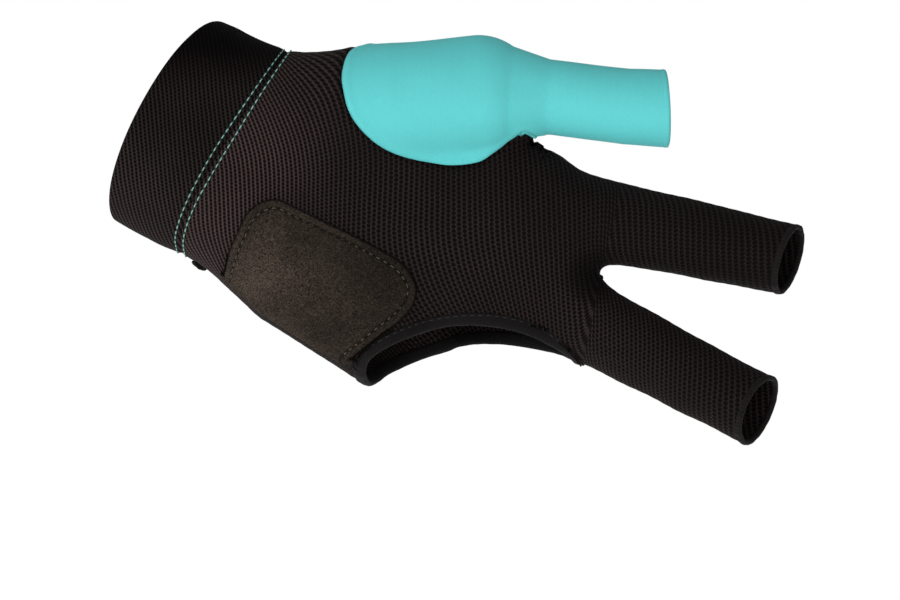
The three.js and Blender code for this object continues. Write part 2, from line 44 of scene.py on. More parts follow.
# Rows of x, y, z, radius down each limb of the hollow; blend rounds the limbs into each other,
# and the cloth's outside lies at level
hand = {
    "blend": 3.0,
    "level": 1.1,
    "limbs": {
        "radius": [(-30, 7, 12, 16.8), (8, -2, 13, 17.3), (32, -8, 13.2, 15.4)],
        "ulna": [(-30, 7, -11, 17.4), (14, -3.5, -12.3, 19.1), (34, -8, -13.3, 15.9)],
        "wrist": [(-30, 7, 0.5, 18.4), (10, -2.6, 0.5, 18.2), (44, -8, 0, 12.5)],
        "heel": [(30, -9, -16, 13), (52, -12, -23.8, 14.2), (80, -11, -28.4, 12.8)],
        "little": [(45, -6, -19, 12), (92, -7, -30, 10.8)],
        "ring": [(45, -7, -7, 12), (106, -9, -12.3, 11.4), (118, -11.5, -18, 10.2)],
        "middle": [(45, -7, 3, 12), (108, -9, 1, 11), (136, -13, -1.5, 9.8), (190, -28, -3.9, 9)],
        "index": [(45, -7, 13, 12), (104, -9, 21.7, 10.6), (128, -12, 27.2, 10.1), (155, -19, 33.4, 9.6),
                  (190, -29, 41.2, 8.2)],
        "web": [(90, -8, 12, 10), (115.4, -10.5, 12.4, 9)],
        "thumbWeb": [(90, -12, 27.2, 3.9), (104, -10.5, 29.3, 6.1)],
        "thumb": [(34, -12, 19.4, 13), (58, -15, 32, 14.8), (78, -16, 44, 14.9), (96, -17, 51.3, 9.1),
                  (117, -18, 57.7, 9.5), (140, -19, 67.3, 10)],
    },
    # rough plan of the outline, from the thumb side of the wrist round the fingers
    "guide": [(-12, 31), (20, 32), (40, 40), (62, 50), (78, 60), (96, 62), (122, 72), (148, 82), (154, 66),
              (131, 53), (112, 46), (98, 39.5), (95, 36), (101, 35.5), (112, 38), (125, 38), (150, 42),
              (175, 48), (198, 52), (202, 38), (177, 28), (150, 21), (136, 17.5), (131, 14), (135, 10.5),
              (150, 9), (186, 7), (202, 3), (202, -11), (187, -13), (160, -13.5), (142, -13.5),
              (133, -12.5), (130, -17), (124, -26), (112, -33), (100, -40), (85, -43), (60, -41),
              (35, -34), (20, -32), (0, -31), (-12, -30)],
}


def runLengths(points):
    # length of a chain of points up to each of them
    steps = np.linalg.norm(np.diff(points, axis=0), axis=1)
    return np.concatenate([[0], np.cumsum(steps)])


def atLengths(points, wanted):
    # points of a chain at the wanted lengths along it
    lengths = runLengths(points)
    return np.stack([np.interp(wanted, lengths, points[:, k]) for k in range(points.shape[1])], axis=1)


def atShares(points, shares):
    # points of a chain at shares of its whole length
    return atLengths(points, np.asarray(shares) * runLengths(points)[-1])


def smoothLine(points, count, closed=False):
    # cubic through the points: each stretch between two points lasts the square root of its length,
    # and the slope at a point is that of the parabola through it and its neighbours; even spacing
    points = np.asarray(points, float)
    if closed:
        points = np.concatenate([points[-1:], points, points[:2]])
    else:
        points = np.concatenate([2 * points[:1] - points[1:2], points, 2 * points[-1:] - points[-2:-1]])
    steps = np.sqrt(np.linalg.norm(np.diff(points, axis=0), axis=1))[:, None]
    rise = np.diff(points, axis=0) / steps
    slopes = (rise[:-1] * steps[1:] + rise[1:] * steps[:-1]) / (steps[1:] + steps[:-1])
    t = np.linspace(0, 1, 40, endpoint=False)[None, :, None]
    a, b = points[1:-2, None], points[2:-1, None]
    ta, tb = (slopes[:-1] * steps[1:-1])[:, None], (slopes[1:] * steps[1:-1])[:, None]
    curve = ((2 * t**3 - 3 * t**2 + 1) * a + (t**3 - 2 * t**2 + t) * ta
             + (3 * t**2 - 2 * t**3) * b + (t**3 - t**2) * tb)
    curve = np.concatenate([curve.reshape(-1, 3), points[-2:-1]])
    return atShares(curve, np.linspace(0, 1, count))


spans = [(k, np.array(a, float), np.array(b, float))
         for k, rows in enumerate(hand["limbs"].values()) for a, b in zip(rows, rows[1:])]


def handField(points):
    # distance outside the limbs, and its slope: for each limb the distance to the nearest round section,
    # and over the limbs the soft minimum -blend * log(sum(exp(-distance / blend)))
    p = np.asarray(points, float).reshape(-1, 3)
    near = np.full((len(hand["limbs"]), len(p)), np.inf)
    ways = np.zeros(near.shape + (3,))
    for limb, a, b in spans:
        run = b[:3] - a[:3]
        t = np.clip((p - a[:3]) @ run / (run @ run), 0, 1)
        off = p - a[:3] - t[:, None] * run
        away = np.linalg.norm(off, axis=1) + 1e-9
        distance = away - a[3] - t * (b[3] - a[3])
        closer = distance < near[limb]
        near[limb][closer] = distance[closer]
        ways[limb][closer] = off[closer] / away[closer, None]
    least = near.min(axis=0)
    share = np.exp((least - near) / hand["blend"])
    total = share.sum(axis=0)
    slope = (share[..., None] * ways).sum(axis=0) / total[:, None]
    shape = np.shape(points)
    return (least - hand["blend"] * np.log(total)).reshape(shape[:-1]), slope.reshape(shape)


def normalsAt(points):
    slope = handField(points)[1]
    return slope / np.linalg.norm(slope, axis=-1, keepdims=True)


def toSurface(points, rounds=7):
    # steps down the slope to the cloth's level
    points = np.array(points, float)
    for _ in range(rounds):
        value, slope = handField(points)
        points += ((hand["level"] - value) / (slope**2).sum(axis=-1))[..., None] * slope
    return points


def withDepth(plan, depth):
    return np.stack([plan[..., 0], depth, plan[..., 1]], axis=-1)


def turnDepth(plan):
    # depth where the field is least under a plan point: halves the range by the sign of its slope in Y
    low, high = np.full(plan.shape[:-1], -60.0), np.full(plan.shape[:-1], 40.0)
    for _ in range(22):
        half = (low + high) / 2
        over = handField(withDepth(plan, half))[1][..., 1] > 0
        low, high = np.where(over, low, half), np.where(over, half, high)
    return (low + high) / 2


def toOutline(plan, rounds=6):
    # moves plan points square to the outline until the least field over them is the cloth's level
    plan = np.array(plan, float)
    for _ in range(rounds):
        value, slope = handField(withDepth(plan, turnDepth(plan)))
        flat = slope[..., [0, 2]]
        plan += ((hand["level"] - value) / (flat**2).sum(axis=-1))[..., None] * flat
    return plan


def lift(plan, side):
    # the surface over plan points, found by halving between the turn and well outside
    plan = np.asarray(plan, float)
    inside = turnDepth(plan)
    outside = inside + side * 45
    for _ in range(26):
        half = (inside + outside) / 2
        under = handField(withDepth(plan, half))[0] < hand["level"]
        inside, outside = np.where(under, half, inside), np.where(under, outside, half)
    return withDepth(plan, inside)


outlinePlan = atShares(np.array(hand["guide"], float), np.linspace(0, 1, 1500))
for _ in range(2):
    outlinePlan = atShares(toOutline(outlinePlan), np.linspace(0, 1, 2200))
outlineTurn = withDepth(outlinePlan, turnDepth(outlinePlan))
outlineLengths = runLengths(outlinePlan)
print("outline", round(outlineLengths[-1]), "mm")


def markNear(x, z, innermost=False):
    # length along the outline of its point nearest to a place, or of the innermost point round it
    gaps = np.hypot(outlinePlan[:, 0] - x, outlinePlan[:, 1] - z)
    found = outlineLengths[np.argmin(gaps)]
    if innermost:
        around = np.where(np.abs(outlineLengths - found) < 7, outlinePlan[:, 0], np.inf)
        found = outlineLengths[np.argmin(around)]
    return found


def outlineAt(lengths):
    return np.stack([np.interp(lengths, outlineLengths, outlineTurn[:, k]) for k in range(3)], axis=-1)


def outlineRun(start, end, count=200):
    return outlineAt(np.linspace(start, end, count))


def sideMark(x, top):
    # length at which the outline passes x on the thumb side or the little finger side of the wrist
    near = outlineLengths < 60 if top else outlineLengths > outlineLengths[-1] - 60
    order = np.argsort(outlinePlan[near, 0])
    return np.interp(x, outlinePlan[near, 0][order], outlineLengths[near][order])


marks = {
    "thumbStart": markNear(43.9, 41.8),
    "thumbTop": markNear(122.1, 72.2),
    "thumbLow": markNear(131.4, 53.2),
    "thumbCrotch": markNear(98.2, 40.4),
    "indexRoot": markNear(125, 36),
    "indexTop": markNear(175, 47),
    "indexLow": markNear(177.3, 28.9),
    "fingerCrotch": markNear(129.8, 12.7, True),
    "middleTop": markNear(186, 5.8),
    "middleLow": markNear(186.6, -13),
    "ringCrotch": markNear(133.6, -13.9),
    "openingSide": markNear(84.8, -41.8),
}


def lineAcross(low, top, bow, side, shares):
    # over one side from the low to the top outline mark: even angles across, moved along X by
    # bow * sin(angle), lifted onto the surface and spaced by shares of its length
    angle = np.linspace(0, np.pi, 121)
    ends = outlineAt([low, top])
    t = (1 - np.cos(angle)) / 2
    plan = ends[0, [0, 2]] + t[:, None] * (ends[1] - ends[0])[[0, 2]]
    plan[:, 0] += side * bow * np.sin(angle)
    return overSide(ends, plan[1:-1], side, shares)


def planLine(rows, shares):
    # plan points at shares along the smooth line through rows of x, z
    line = smoothLine([(x, 0, z) for x, z in rows], 1200)
    return atShares(line, shares)[:, [0, 2]]


def joinLine(side, shares, way=0):
    # the cuff's join over one side, from the little finger side to the thumb side; way -1 or 1
    # gives the row of stitches on its wrist side or its hand side
    def moved(x, z):
        return x + way * np.interp(z, *zip(*join["spread"]))
    lowX, topX = join["sides"]
    ends = outlineAt([sideMark(moved(lowX, -33), False), sideMark(moved(topX, 33), True)])
    rows = [(moved(x, z), z) for x, z in join[side]]
    rows = [tuple(ends[0, [0, 2]])] + rows + [tuple(ends[1, [0, 2]])]
    plan = planLine(rows, (1 - np.cos(np.linspace(0, np.pi, 121))) / 2)
    return overSide(ends, plan[1:-1], side, shares)


def overSide(ends, plan, side, shares):
    # plan points between two outline points lifted onto one side, spaced by shares of the length
    line = np.concatenate([ends[:1], lift(plan, side), ends[1:]])
    line = atShares(line, shares)
    line[1:-1] = toSurface(line[1:-1])
    return line


def patchOf(first, last, low, high):
    # blend of four edges: the two straight blends less the blend of the corners, then onto the surface
    def share(line):
        lengths = runLengths(line)
        return lengths / lengths[-1]
    i = np.linspace(0, 1, len(low))[:, None]
    j = np.linspace(0, 1, len(first))[None, :]
    v = ((1 - j) * share(low)[:, None] + j * share(high)[:, None])[..., None]
    u = ((1 - i) * share(first)[None, :] + i * share(last)[None, :])[..., None]
    grid = (1 - v) * first[None] + v * last[None] + (1 - u) * low[:, None] + u * high[:, None]
    grid -= ((1 - u) * (1 - v) * first[0] + u * (1 - v) * first[-1]
             + (1 - u) * v * last[0] + u * v * last[-1])
    grid = toSurface(grid)
    grid[0], grid[-1], grid[:, 0], grid[:, -1] = first, last, low, high
    return grid


def relaxed(grid, rounds):
    # inner points move to the middle of their four neighbours and back onto the surface
    for k in range(rounds):
        grid[1:-1, 1:-1] = (grid[:-2, 1:-1] + grid[2:, 1:-1] + grid[1:-1, :-2] + grid[1:-1, 2:]) / 4
        if k % 10 == 9:
            grid[1:-1, 1:-1] = toSurface(grid[1:-1, 1:-1], 3)
    return grid


def nearestOn(line, points, ways=None):
    # distance from each point to the nearest of a line's points, and the length along the line there;
    # with ways, a direction across each of the line's points, the distance is below zero behind the line
    flat = points.reshape(-1, 3)
    best = np.empty(len(flat), int)
    for start in range(0, len(flat), 4000):
        part = flat[start:start + 4000]
        best[start:start + 4000] = ((part[:, None] - line[None]) ** 2).sum(axis=2).argmin(axis=1)
    off = flat - line[best]
    gap = np.linalg.norm(off, axis=1)
    if ways is not None:
        gap = np.where((off * ways[best]).sum(axis=1) < 0, -gap, gap)
    return gap.reshape(points.shape[:-1]), runLengths(line)[best].reshape(points.shape[:-1])


def ripples(points, size, seed):
    # soft cloth unevenness between about -1 and 1: ten sine waves of about that size in chance directions
    chance = np.random.default_rng(seed)
    ways = chance.normal(size=(10, 3))
    ways /= np.linalg.norm(ways, axis=1, keepdims=True)
    sizes = size * chance.uniform(0.7, 1.6, 10)
    phases = chance.uniform(0, 2 * np.pi, 10)
    waves = np.sin(points @ (ways / sizes[:, None]).T * 2 * np.pi + phases)
    return waves.mean(axis=-1) * 2.2


def eased(count, crowd=0.6):
    # shares from 0 to 1 that lie closer at both ends
    t = np.linspace(0, 1, count + 1)
    return t - crowd * np.sin(2 * np.pi * t) / (2 * np.pi)


def ramp(value, start, end):
    # smooth rise from 0 at start to 1 at end
    t = np.clip((value - start) / (end - start), 0, 1)
    return t * t * (3 - 2 * t)


def bell(distance, width):
    # 1 on a line, and less and less on both sides of it
    return np.exp(-(distance / width) ** 2)


# The cuff's join: x at the little finger side and at the thumb side, plan points between them, and how
# far each row of stitches lies from it at some heights
join = {
    "sides": (21.4, 24.2),
    palm: [(19.4, -29), (18.5, -24.5), (18.2, -17.5), (18.6, -9.6), (19.4, -1), (21.7, 16)],
    back: [(25, -17), (26.2, 0), (26.4, 16)],
    "spread": [(-33, 1.25), (-22, 1.2), (-8, 1.4), (0, 1.45), (16, 1.12), (32, 0.95)],
}

# Seams and edges
seams = {
    "thumbPalm": [(40.7, 39.5), (40.1, 37.2), (40.5, 34.2), (41.5, 31.2), (43.5, 28.1), (46.6, 24.2),
                  (50.8, 21.1), (59.2, 18.3), (66.6, 18.5), (73.2, 20.1), (79.6, 22.2), (86.3, 26.5),
                  (88.5, 29.7), (90.3, 32.8), (92.2, 36.3), (93.9, 39)],
    "thumbBack": [(42.5, 37), (50, 30), (62, 26.5), (75, 27.5), (86, 31), (93, 36.5)],
    "openingPalm": [(81.6, -37.4), (85.4, -30.6), (93.1, -22.6), (104.6, -15.4), (117.7, -11.7), (128, -12)],
    "openingBack": [(88.5, -38), (94.5, -31), (101.5, -24.5), (109.5, -19), (118.5, -15.5), (128, -13.2)],
}
thumbMiddle = (75, -16, 45)
# place on the outline, height and width: fuller where the panel starts and on the index side of the
# thumb's crotch, deeper at the crotch's end
swells = [((45.2, 42.2), 0.8, 9), ((96.2, 38.8), -1.4, 2.0), ((99.5, 37.4), 0.9, 2.6)]


def swollen(points):
    # sum of height * bell(distance, width)
    total = 0
    for at, height, width in swells:
        place = outlineAt(markNear(*at))
        total = total + height * bell(np.linalg.norm(points - place, axis=-1), width)
    return total


thumbEdge = {}
ends = outlineAt([marks["thumbStart"], marks["thumbCrotch"]])
for side, key in ((palm, "thumbPalm"), (back, "thumbBack")):
    rows = lift(seams[key], side)
    thumbEdge[side] = toSurface(smoothLine(np.concatenate([ends[:1], rows, ends[1:]]), 300))
openingLoop = toSurface(smoothLine(np.concatenate([
    outlineAt([marks["openingSide"]]),
    lift(seams["openingPalm"], palm),
    outlineAt([marks["ringCrotch"]]),
    lift(seams["openingBack"][::-1], back),
]), 561, closed=True))


def waysBeside(line, target):
    # unit directions over the surface, square to an open line, on the side of a target point
    way = np.cross(normalsAt(line), np.gradient(line, axis=0))
    way /= np.linalg.norm(way, axis=1, keepdims=True)
    return way if ((np.array(target) - line) * way).sum() > 0 else -way


def besideLine(line, distance, target):
    # an open line moved over the surface towards a target point; its ends stay
    moved = toSurface(line + distance * waysBeside(line, target))
    return np.concatenate([line[:1], moved[1:-1], line[-1:]])


def loopWays(loop, target=None):
    # unit directions over the surface, square to a closed line; away from the hole it goes round, or
    # to the side of a target point
    run = np.roll(loop[:-1], -2, axis=0) - np.roll(loop[:-1], 2, axis=0)
    way = np.cross(normalsAt(loop[:-1]), run)
    way /= np.linalg.norm(way, axis=1, keepdims=True)
    way = np.concatenate([way, way[:1]])
    if target is not None and ((np.array(target) - loop) * way).sum() < 0:
        way = -way
    return way


def besideLoop(loop, distance):
    # a closed line moved over the surface, away from the hole it goes round
    moved = toSurface(loop[:-1] + distance * loopWays(loop)[:-1])
    return np.concatenate([moved, moved[:1]])


thumbLoop = np.concatenate([thumbEdge[palm], thumbEdge[back][-2::-1]])
thumbLoop = toSurface(atShares(thumbLoop, np.linspace(0, 1, 1801)))
thumbLoop[-1] = thumbLoop[0]
thumbWays = loopWays(thumbLoop, thumbMiddle)


def loopHalves(loop):
    # the palm half and the back half of the opening's line, both from the side to the ring crotch
    turn = np.argmin(np.linalg.norm(openingLoop - outlineAt(marks["ringCrotch"]), axis=1))
    return {palm: loop[:turn + 1], back: loop[turn:][::-1]}


def gridNumbers(grid):
    # a number for each point of a grid
    return np.arange(grid[..., 0].size).reshape(grid.shape[:2])


def wrapped(numbers):
    # point numbers with the first column and the first row again at the end, as round a ring
    numbers = np.concatenate([numbers, numbers[:1]])
    return np.concatenate([numbers, numbers[:, :1]], axis=1)


def corners(a):
    # the four corner values of every face of a grid
    picked = np.stack([a[:-1, :-1], a[:-1, 1:], a[1:, 1:], a[1:, :-1]], axis=2)
    return picked.reshape((-1, 4) + a.shape[2:])


def makePiece(name, points, faces, places=None, flip=False):
    # a mesh object at the origin from points in mm, four-cornered faces and places of their corners
    if flip:
        faces = faces[:, ::-1]
        places = None if places is None else places[:, ::-1]
    mesh = bpy.data.meshes.new(name)
    mesh.from_pydata(points * mm, [], faces.tolist())
    if places is not None:
        mesh.uv_layers.new(name="cloth").data.foreach_set("uv", places.astype(float).ravel())
    mesh.shade_smooth()
    mesh.validate()
    piece = bpy.data.objects.new(name, mesh)
    scene.collection.objects.link(piece)
    return piece


def closedPiece(name, points, faces, places=None):
    # a piece whose faces close round a volume, turned outwards
    a, b, c, d = np.moveaxis(points[faces], 1, 0)
    volume = (a * (np.cross(b, c) + np.cross(c, d))).sum()
    return makePiece(name, points, faces, places, volume < 0)


def clothPiece(name, points, faces, places, thickness):
    # a cloth with its faces turned outwards and a wall on its inside
    a, b, c, d = np.moveaxis(points[faces], 1, 0)
    flip = (np.cross(c - a, d - b) * normalsAt((a + b + c + d) / 4)).sum() < 0
    piece = makePiece(name, points, faces, places, flip)
    wall = piece.modifiers.new("wall", "SOLIDIFY")
    wall.thickness = thickness * mm
    wall.offset = -1
    return piece


def clothArea(piece):
    # area of the face that is seen, without the wall's modifier, in square metres
    areas = np.empty(len(piece.data.polygons))
    piece.data.polygons.foreach_get("area", areas)
    return areas.sum()


def unrolled(grid, reference, start):
    # x, and z let out: from the reference column each step across adds its rise in z and how much
    # longer the step is over the form than in plan
    steps = np.diff(grid, axis=1)
    longer = np.linalg.norm(steps, axis=2) - np.linalg.norm(steps[..., [0, 2]], axis=2)
    across = np.cumsum(np.abs(steps[..., 2]) + longer, axis=1)
    across = np.concatenate([np.zeros((len(grid), 1)), across], axis=1)
    across += start - across[:, reference, None]
    return np.stack([grid[..., 0], across], axis=-1)


# How the knit's columns lie, in mm across the photo and up it: near the thumb panel's wrist end they
# lean to the wrist, and they swing to both sides on their way to the fingers
knitLay = {
    "tilt": np.radians(25),
    "lean": 0.011, "leanFrom": -18, "leanMost": 29, "leanTo": (34, 72),
    "low": 0.012, "lowFrom": -30, "lowTo": (75, 118),
    "swing": 0.04, "swingFrom": 82, "swingLength": 88, "swingLevel": -12,
    "closer": 0.2, "closeTo": 50, "closeSoft": 8, "closeRows": 12,
    "cuffLean": 0.11,
}


def knitPlace(flat, onCuff=False):
    # mm across the columns and along them
    x, z = flat[..., 0], flat[..., 1]
    c, s = np.cos(knitLay["tilt"]), np.sin(knitLay["tilt"])
    across, up = x * c + z * s, z * c - x * s
    if onCuff:
        return np.stack([across + knitLay["cuffLean"] * up, up], axis=-1)
    most = knitLay["leanMost"]
    over = np.maximum(up - knitLay["leanFrom"], 0)
    lean = knitLay["lean"] * (np.minimum(over, most) ** 2 + 2 * most * np.maximum(over - most, 0))
    lean *= 1 - ramp(across, *knitLay["leanTo"])
    below = np.minimum(up - knitLay["lowFrom"], 0)
    lean -= knitLay["low"] * below**2 * (1 - ramp(across, *knitLay["lowTo"]))
    turn = 2 * np.pi * (across - knitLay["swingFrom"]) / knitLay["swingLength"]
    swing = knitLay["swing"] * (up - knitLay["swingLevel"]) * np.sin(turn)
    column = across + lean + swing
    # less stretched towards the wrist: columns and rows lie closer there
    under = knitLay["closeTo"] - column
    column = column - knitLay["closer"] * (under + np.sqrt(under**2 + knitLay["closeSoft"] ** 2)) / 2
    rows = 1 + knitLay["closer"] * ramp(under, -knitLay["closeRows"], knitLay["closeRows"])
    return np.stack([column, up * rows], axis=-1)


print("form ready")

# Palm and back of knit mesh, each with its half of the index and middle finger sleeves
shell = {
    "wall": 1.0,
    "half": 58,            # columns in each half of the width
    "rowsTimes": 8,        # rows for each of the twenty coarse ones
    "underTape": 2.8,
    "crotchRows": [0.36, 0.64, 0.83, 0.945, 1],
    "legRows": {"index": 74, "middle": 82},
    "hems": {"index": (3.2, 3.2), "middle": (4.6, 3.6)},
    "sideSeam": (0.45, 0.7), "thumbSeam": (1.15, 1.0), "cuffSeam": (0.45, 0.9), "underThumb": 0.5,
    "underReach": 6, "lowest": -1.3, "calm": (1.5, 6),
    "puckerPitch": 3.7, "pucker": 0.12, "sidePucker": 0.05, "puckerReach": 2.6,
    "uneven": 0.16,
}
joinMarks = {"low": sideMark(join["sides"][0], False), "top": sideMark(join["sides"][1], True)}
halfShares = eased(shell["half"], 0.55)
wideShares = np.concatenate([halfShares / 2, 0.5 + halfShares[1:] / 2])
tapeInner = loopHalves(besideLoop(openingLoop, shell["underTape"]))

# creases: plan points on the palm side, depth and width; a depth below zero is a ridge
creases = {
    palm: [
        ([(128.5, 33), (126.5, 30), (128, 26.5), (131.5, 25)], 0.5, 0.7),
        ([(131, 33), (129, 30.5), (130.3, 27.8)], -0.3, 0.8),
        ([(95, 32), (103, 28), (112, 24)], 0.35, 1.6),
        ([(96, 29), (102, 24), (106, 19)], 0.25, 1.6),
        ([(134, 14), (142, 9), (150, 5)], 0.18, 1.3),
        ([(136, -8), (143, -4.5), (150, -3)], 0.25, 1.2),
        ([(135, -11), (144, -9), (152, -8.5)], 0.25, 1.1),
        ([(30, 27), (37, 21), (42, 12)], 0.22, 2.0),
        ([(27, 20), (33, 13), (37, 4)], 0.15, 1.8),
    ],
    back: [
        ([(95, 34), (104, 31), (113, 31)], 0.35, 1.6),
        ([(134, 16), (143, 22), (150, 26)], 0.25, 1.4),
        ([(134, 10), (143, 5), (152, 2)], 0.25, 1.4),
        ([(130, -10), (140, -8), (150, -8)], 0.3, 1.2),
        ([(150, 26), (153, 33), (152, 39)], 0.2, 1.2),
        ([(156, -10), (159, -3), (157, 4)], 0.2, 1.2),
    ],
}


def creaseRelief(points, rows, side, count, end):
    # each crease sinks by depth * bell(distance, width), fading towards its ends
    # down to a share end of its length from each; with no end it doesn't fade
    relief = np.zeros(points.shape[:-1])
    for plan, depth, width in rows:
        line = toSurface(smoothLine(lift(plan, side), count))
        gap, along = nearestOn(line, points)
        if end is not None:
            share = np.clip(along / runLengths(line)[-1], end, 1 - end)
            depth = depth * np.sin(np.pi * share) ** 0.7
        relief -= depth * bell(gap, width)
    return relief


def seamRelief(points, line, depth, width):
    # sinks by depth * bell(distance, width) and puckers in waves that die off beside the seam
    gap, along = nearestOn(line, points)
    waves = shell["sidePucker"] * np.cos(2 * np.pi * along / shell["puckerPitch"]) * ramp(gap, 0, 1)
    return waves * np.exp(-gap / shell["puckerReach"]) - depth * bell(gap, width)


def thumbSeamRelief(points):
    # the knit sinks towards the thumb panel's edge and stays sunk where it runs on under the panel
    gap, along = nearestOn(thumbLoop, points, thumbWays)
    depth, width = shell["thumbSeam"]
    waves = shell["pucker"] * np.cos(2 * np.pi * along / shell["puckerPitch"])
    waves = waves * np.exp(gap / shell["puckerReach"]) * ramp(-gap, 0.3, 1.3)
    under = -depth * (gap < shell["underReach"])
    return np.where(gap > 0, under, waves - depth * bell(gap, width))


def makeShell(side, name):
    low, top = joinMarks["low"], joinMarks["top"]
    first = joinLine(side, wideShares)
    opening = tapeInner[side]
    openingStart = markNear(*opening[0, [0, 2]])
    ringCrotch = markNear(*opening[-1, [0, 2]])
    lowSide = outlineRun(low, openingStart)
    lowLine = np.concatenate([lowSide, opening[1:-1], outlineAt([ringCrotch])])
    highSide = outlineRun(top, marks["thumbStart"])
    crotchSide = outlineRun(marks["thumbCrotch"], marks["indexRoot"])
    underThumb = besideLine(thumbEdge[side], shell["underThumb"], thumbMiddle)
    highLine = np.concatenate([highSide, underThumb[1:-1], crotchSide])
    lowEnds = [0, runLengths(lowSide)[-1], runLengths(lowLine)[-1]]
    thumbEnd = runLengths(highLine)[-1] - runLengths(crotchSide)[-1]
    highEnds = [0, runLengths(highSide)[-1], thumbEnd]
    highEnds += [thumbEnd + t * runLengths(crotchSide)[-1] for t in shell["crotchRows"]]
    # both sides are cut into twenty coarse rows, given by those at which a run of the side ends
    rows = np.linspace(0, 20, 20 * shell["rowsTimes"] + 1)
    lowRows = atLengths(lowLine, np.interp(rows, [0, 6, 20], lowEnds))
    highRows = atLengths(highLine, np.interp(rows, [0, 3, 15, 16, 17, 18, 19, 20], highEnds))
    # the last row: the middle finger's root and the index finger's
    middleRoot = lineAcross(ringCrotch, marks["fingerCrotch"], 0, side, halfShares)
    indexRoot = lineAcross(marks["fingerCrotch"], marks["indexRoot"], 0, side, halfShares)
    last = np.concatenate([middleRoot, indexRoot[1:]])
    lowRows[0], highRows[0], lowRows[-1], highRows[-1] = first[0], first[-1], last[0], last[-1]
    main = relaxed(patchOf(first, last, lowRows, highRows), 150)

    half = shell["half"]
    crotch = marks["fingerCrotch"]
    legs = {
        "middle": (middleRoot, ringCrotch, marks["middleLow"], crotch, marks["middleTop"], half),
        "index": (indexRoot, crotch, marks["indexLow"], marks["indexRoot"], marks["indexTop"], 0),
    }
    grids = {"main": (main, half)}
    hemLines = {}
    for key, (root, lowFrom, lowTo, highFrom, highTo, reference) in legs.items():
        rows = shell["legRows"][key] + 1
        bow = shell["hems"][key][0 if side == palm else 1]
        hem = lineAcross(lowTo, highTo, bow, side, halfShares)
        sides = outlineRun(lowFrom, lowTo, rows), outlineRun(highFrom, highTo, rows)
        grids[key] = (patchOf(root, hem, *sides), reference)
        hemLines[key] = hem

    # the lines that are sewn: down both sides, round the thumb panel and at the cuff
    sewn = [(line, *shell["sideSeam"]) for line in (
        lowSide, highSide, outlineRun(marks["thumbCrotch"], marks["indexTop"], 300),
        outlineRun(marks["indexLow"], marks["middleTop"], 420),
        outlineRun(marks["middleLow"], ringCrotch, 240))]
    sewn.append((first, *shell["cuffSeam"]))
    points, faces, places, count = [], [], [], 0
    for key, (grid, reference) in grids.items():
        start = grid[:, half, 2, None] if key == "main" else outlineAt(crotch)[2]
        places.append(corners(knitPlace(unrolled(grid, reference, start))))
        # the creases and the unevenness fade towards the cuff's join
        calm = ramp(nearestOn(first, grid)[0], *shell["calm"])
        relief = creaseRelief(grid, creases[side], side, 60, 0.04)
        relief = (relief + shell["uneven"] * ripples(grid, 14, 5)) * calm + swollen(grid)
        for line, depth, width in sewn:
            relief += seamRelief(grid, line, depth, width)
        relief += thumbSeamRelief(grid)
        raised = grid + np.maximum(relief, shell["lowest"])[..., None] * normalsAt(grid)
        if key == "main":
            numbers = gridNumbers(raised)
            lastRow = numbers[-1]
        else:
            # the finger's first row of points is the part of the palm's last row that it grows from
            root = lastRow[:half + 1] if key == "middle" else lastRow[half:]
            raised = raised[1:]
            numbers = np.concatenate([root[None], count + gridNumbers(raised)])
        count += raised[..., 0].size
        points.append(raised.reshape(-1, 3))
        faces.append(corners(numbers))
    points, faces, places = [np.concatenate(part) for part in (points, faces, places)]
    return clothPiece(name, points, faces, places, shell["wall"]), hemLines


palmKnit, palmHems = makeShell(palm, "palmKnit")
backKnit, backHems = makeShell(back, "backKnit")
print("shell", len(palmKnit.data.polygons), len(backKnit.data.polygons))

# Thumb panel and sleeve of smooth stretch cloth
thumb = {
    "wall": 0.9, "half": 96, "edgeRows": 60, "sleeveRows": 76, "palmBow": -0.8, "backBow": 1.5,
    "corner": {palm: (74, 20.3), back: (74, 27.3)},
    "edgeDrop": 0.3, "edgeWidth": 0.3, "roll": 0.25, "uneven": 0.12,
    "scallopPitch": 3.7, "scallop": 0.07, "tuck": 1.4, "tuckReach": 4, "seam": (0.12, 0.5),
    "dimples": [([(80, 33), (85, 35), (89, 37)], 0.25, 2.4),
                ([(80, 46), (86, 49.5), (92, 51)], 0.25, 2.4)],
}


def thumbRelief(grid):
    # the panel's edge drops and rolls up just inside it; cloth that crosses it tucks in under the knit
    signed, along = nearestOn(thumbLoop, grid, thumbWays)
    gap = np.maximum(signed, 0)
    waves = np.cos(2 * np.pi * along / thumb["scallopPitch"])
    relief = (-thumb["edgeDrop"] * bell(gap, thumb["edgeWidth"])
              + thumb["roll"] * bell(gap - 1.3, 1.1)
              + thumb["scallop"] * waves * np.exp(-gap / 1.8) * ramp(gap, 0, 0.8)
              - thumb["tuck"] * ramp(-signed, 0.03, 0.4) * (signed > -thumb["tuckReach"]))
    # seams down the sleeve
    for start, end in (("thumbStart", "thumbTop"), ("thumbCrotch", "thumbLow")):
        apart, _ = nearestOn(outlineRun(marks[start], marks[end], 500), grid)
        relief -= thumb["seam"][0] * bell(apart, thumb["seam"][1]) * ramp(gap, 1, 5)
    relief += creaseRelief(grid, thumb["dimples"], palm, 50, 0.05)
    return relief + thumb["uneven"] * ripples(grid, 20, 11) * ramp(gap, 0, 4) + swollen(grid)


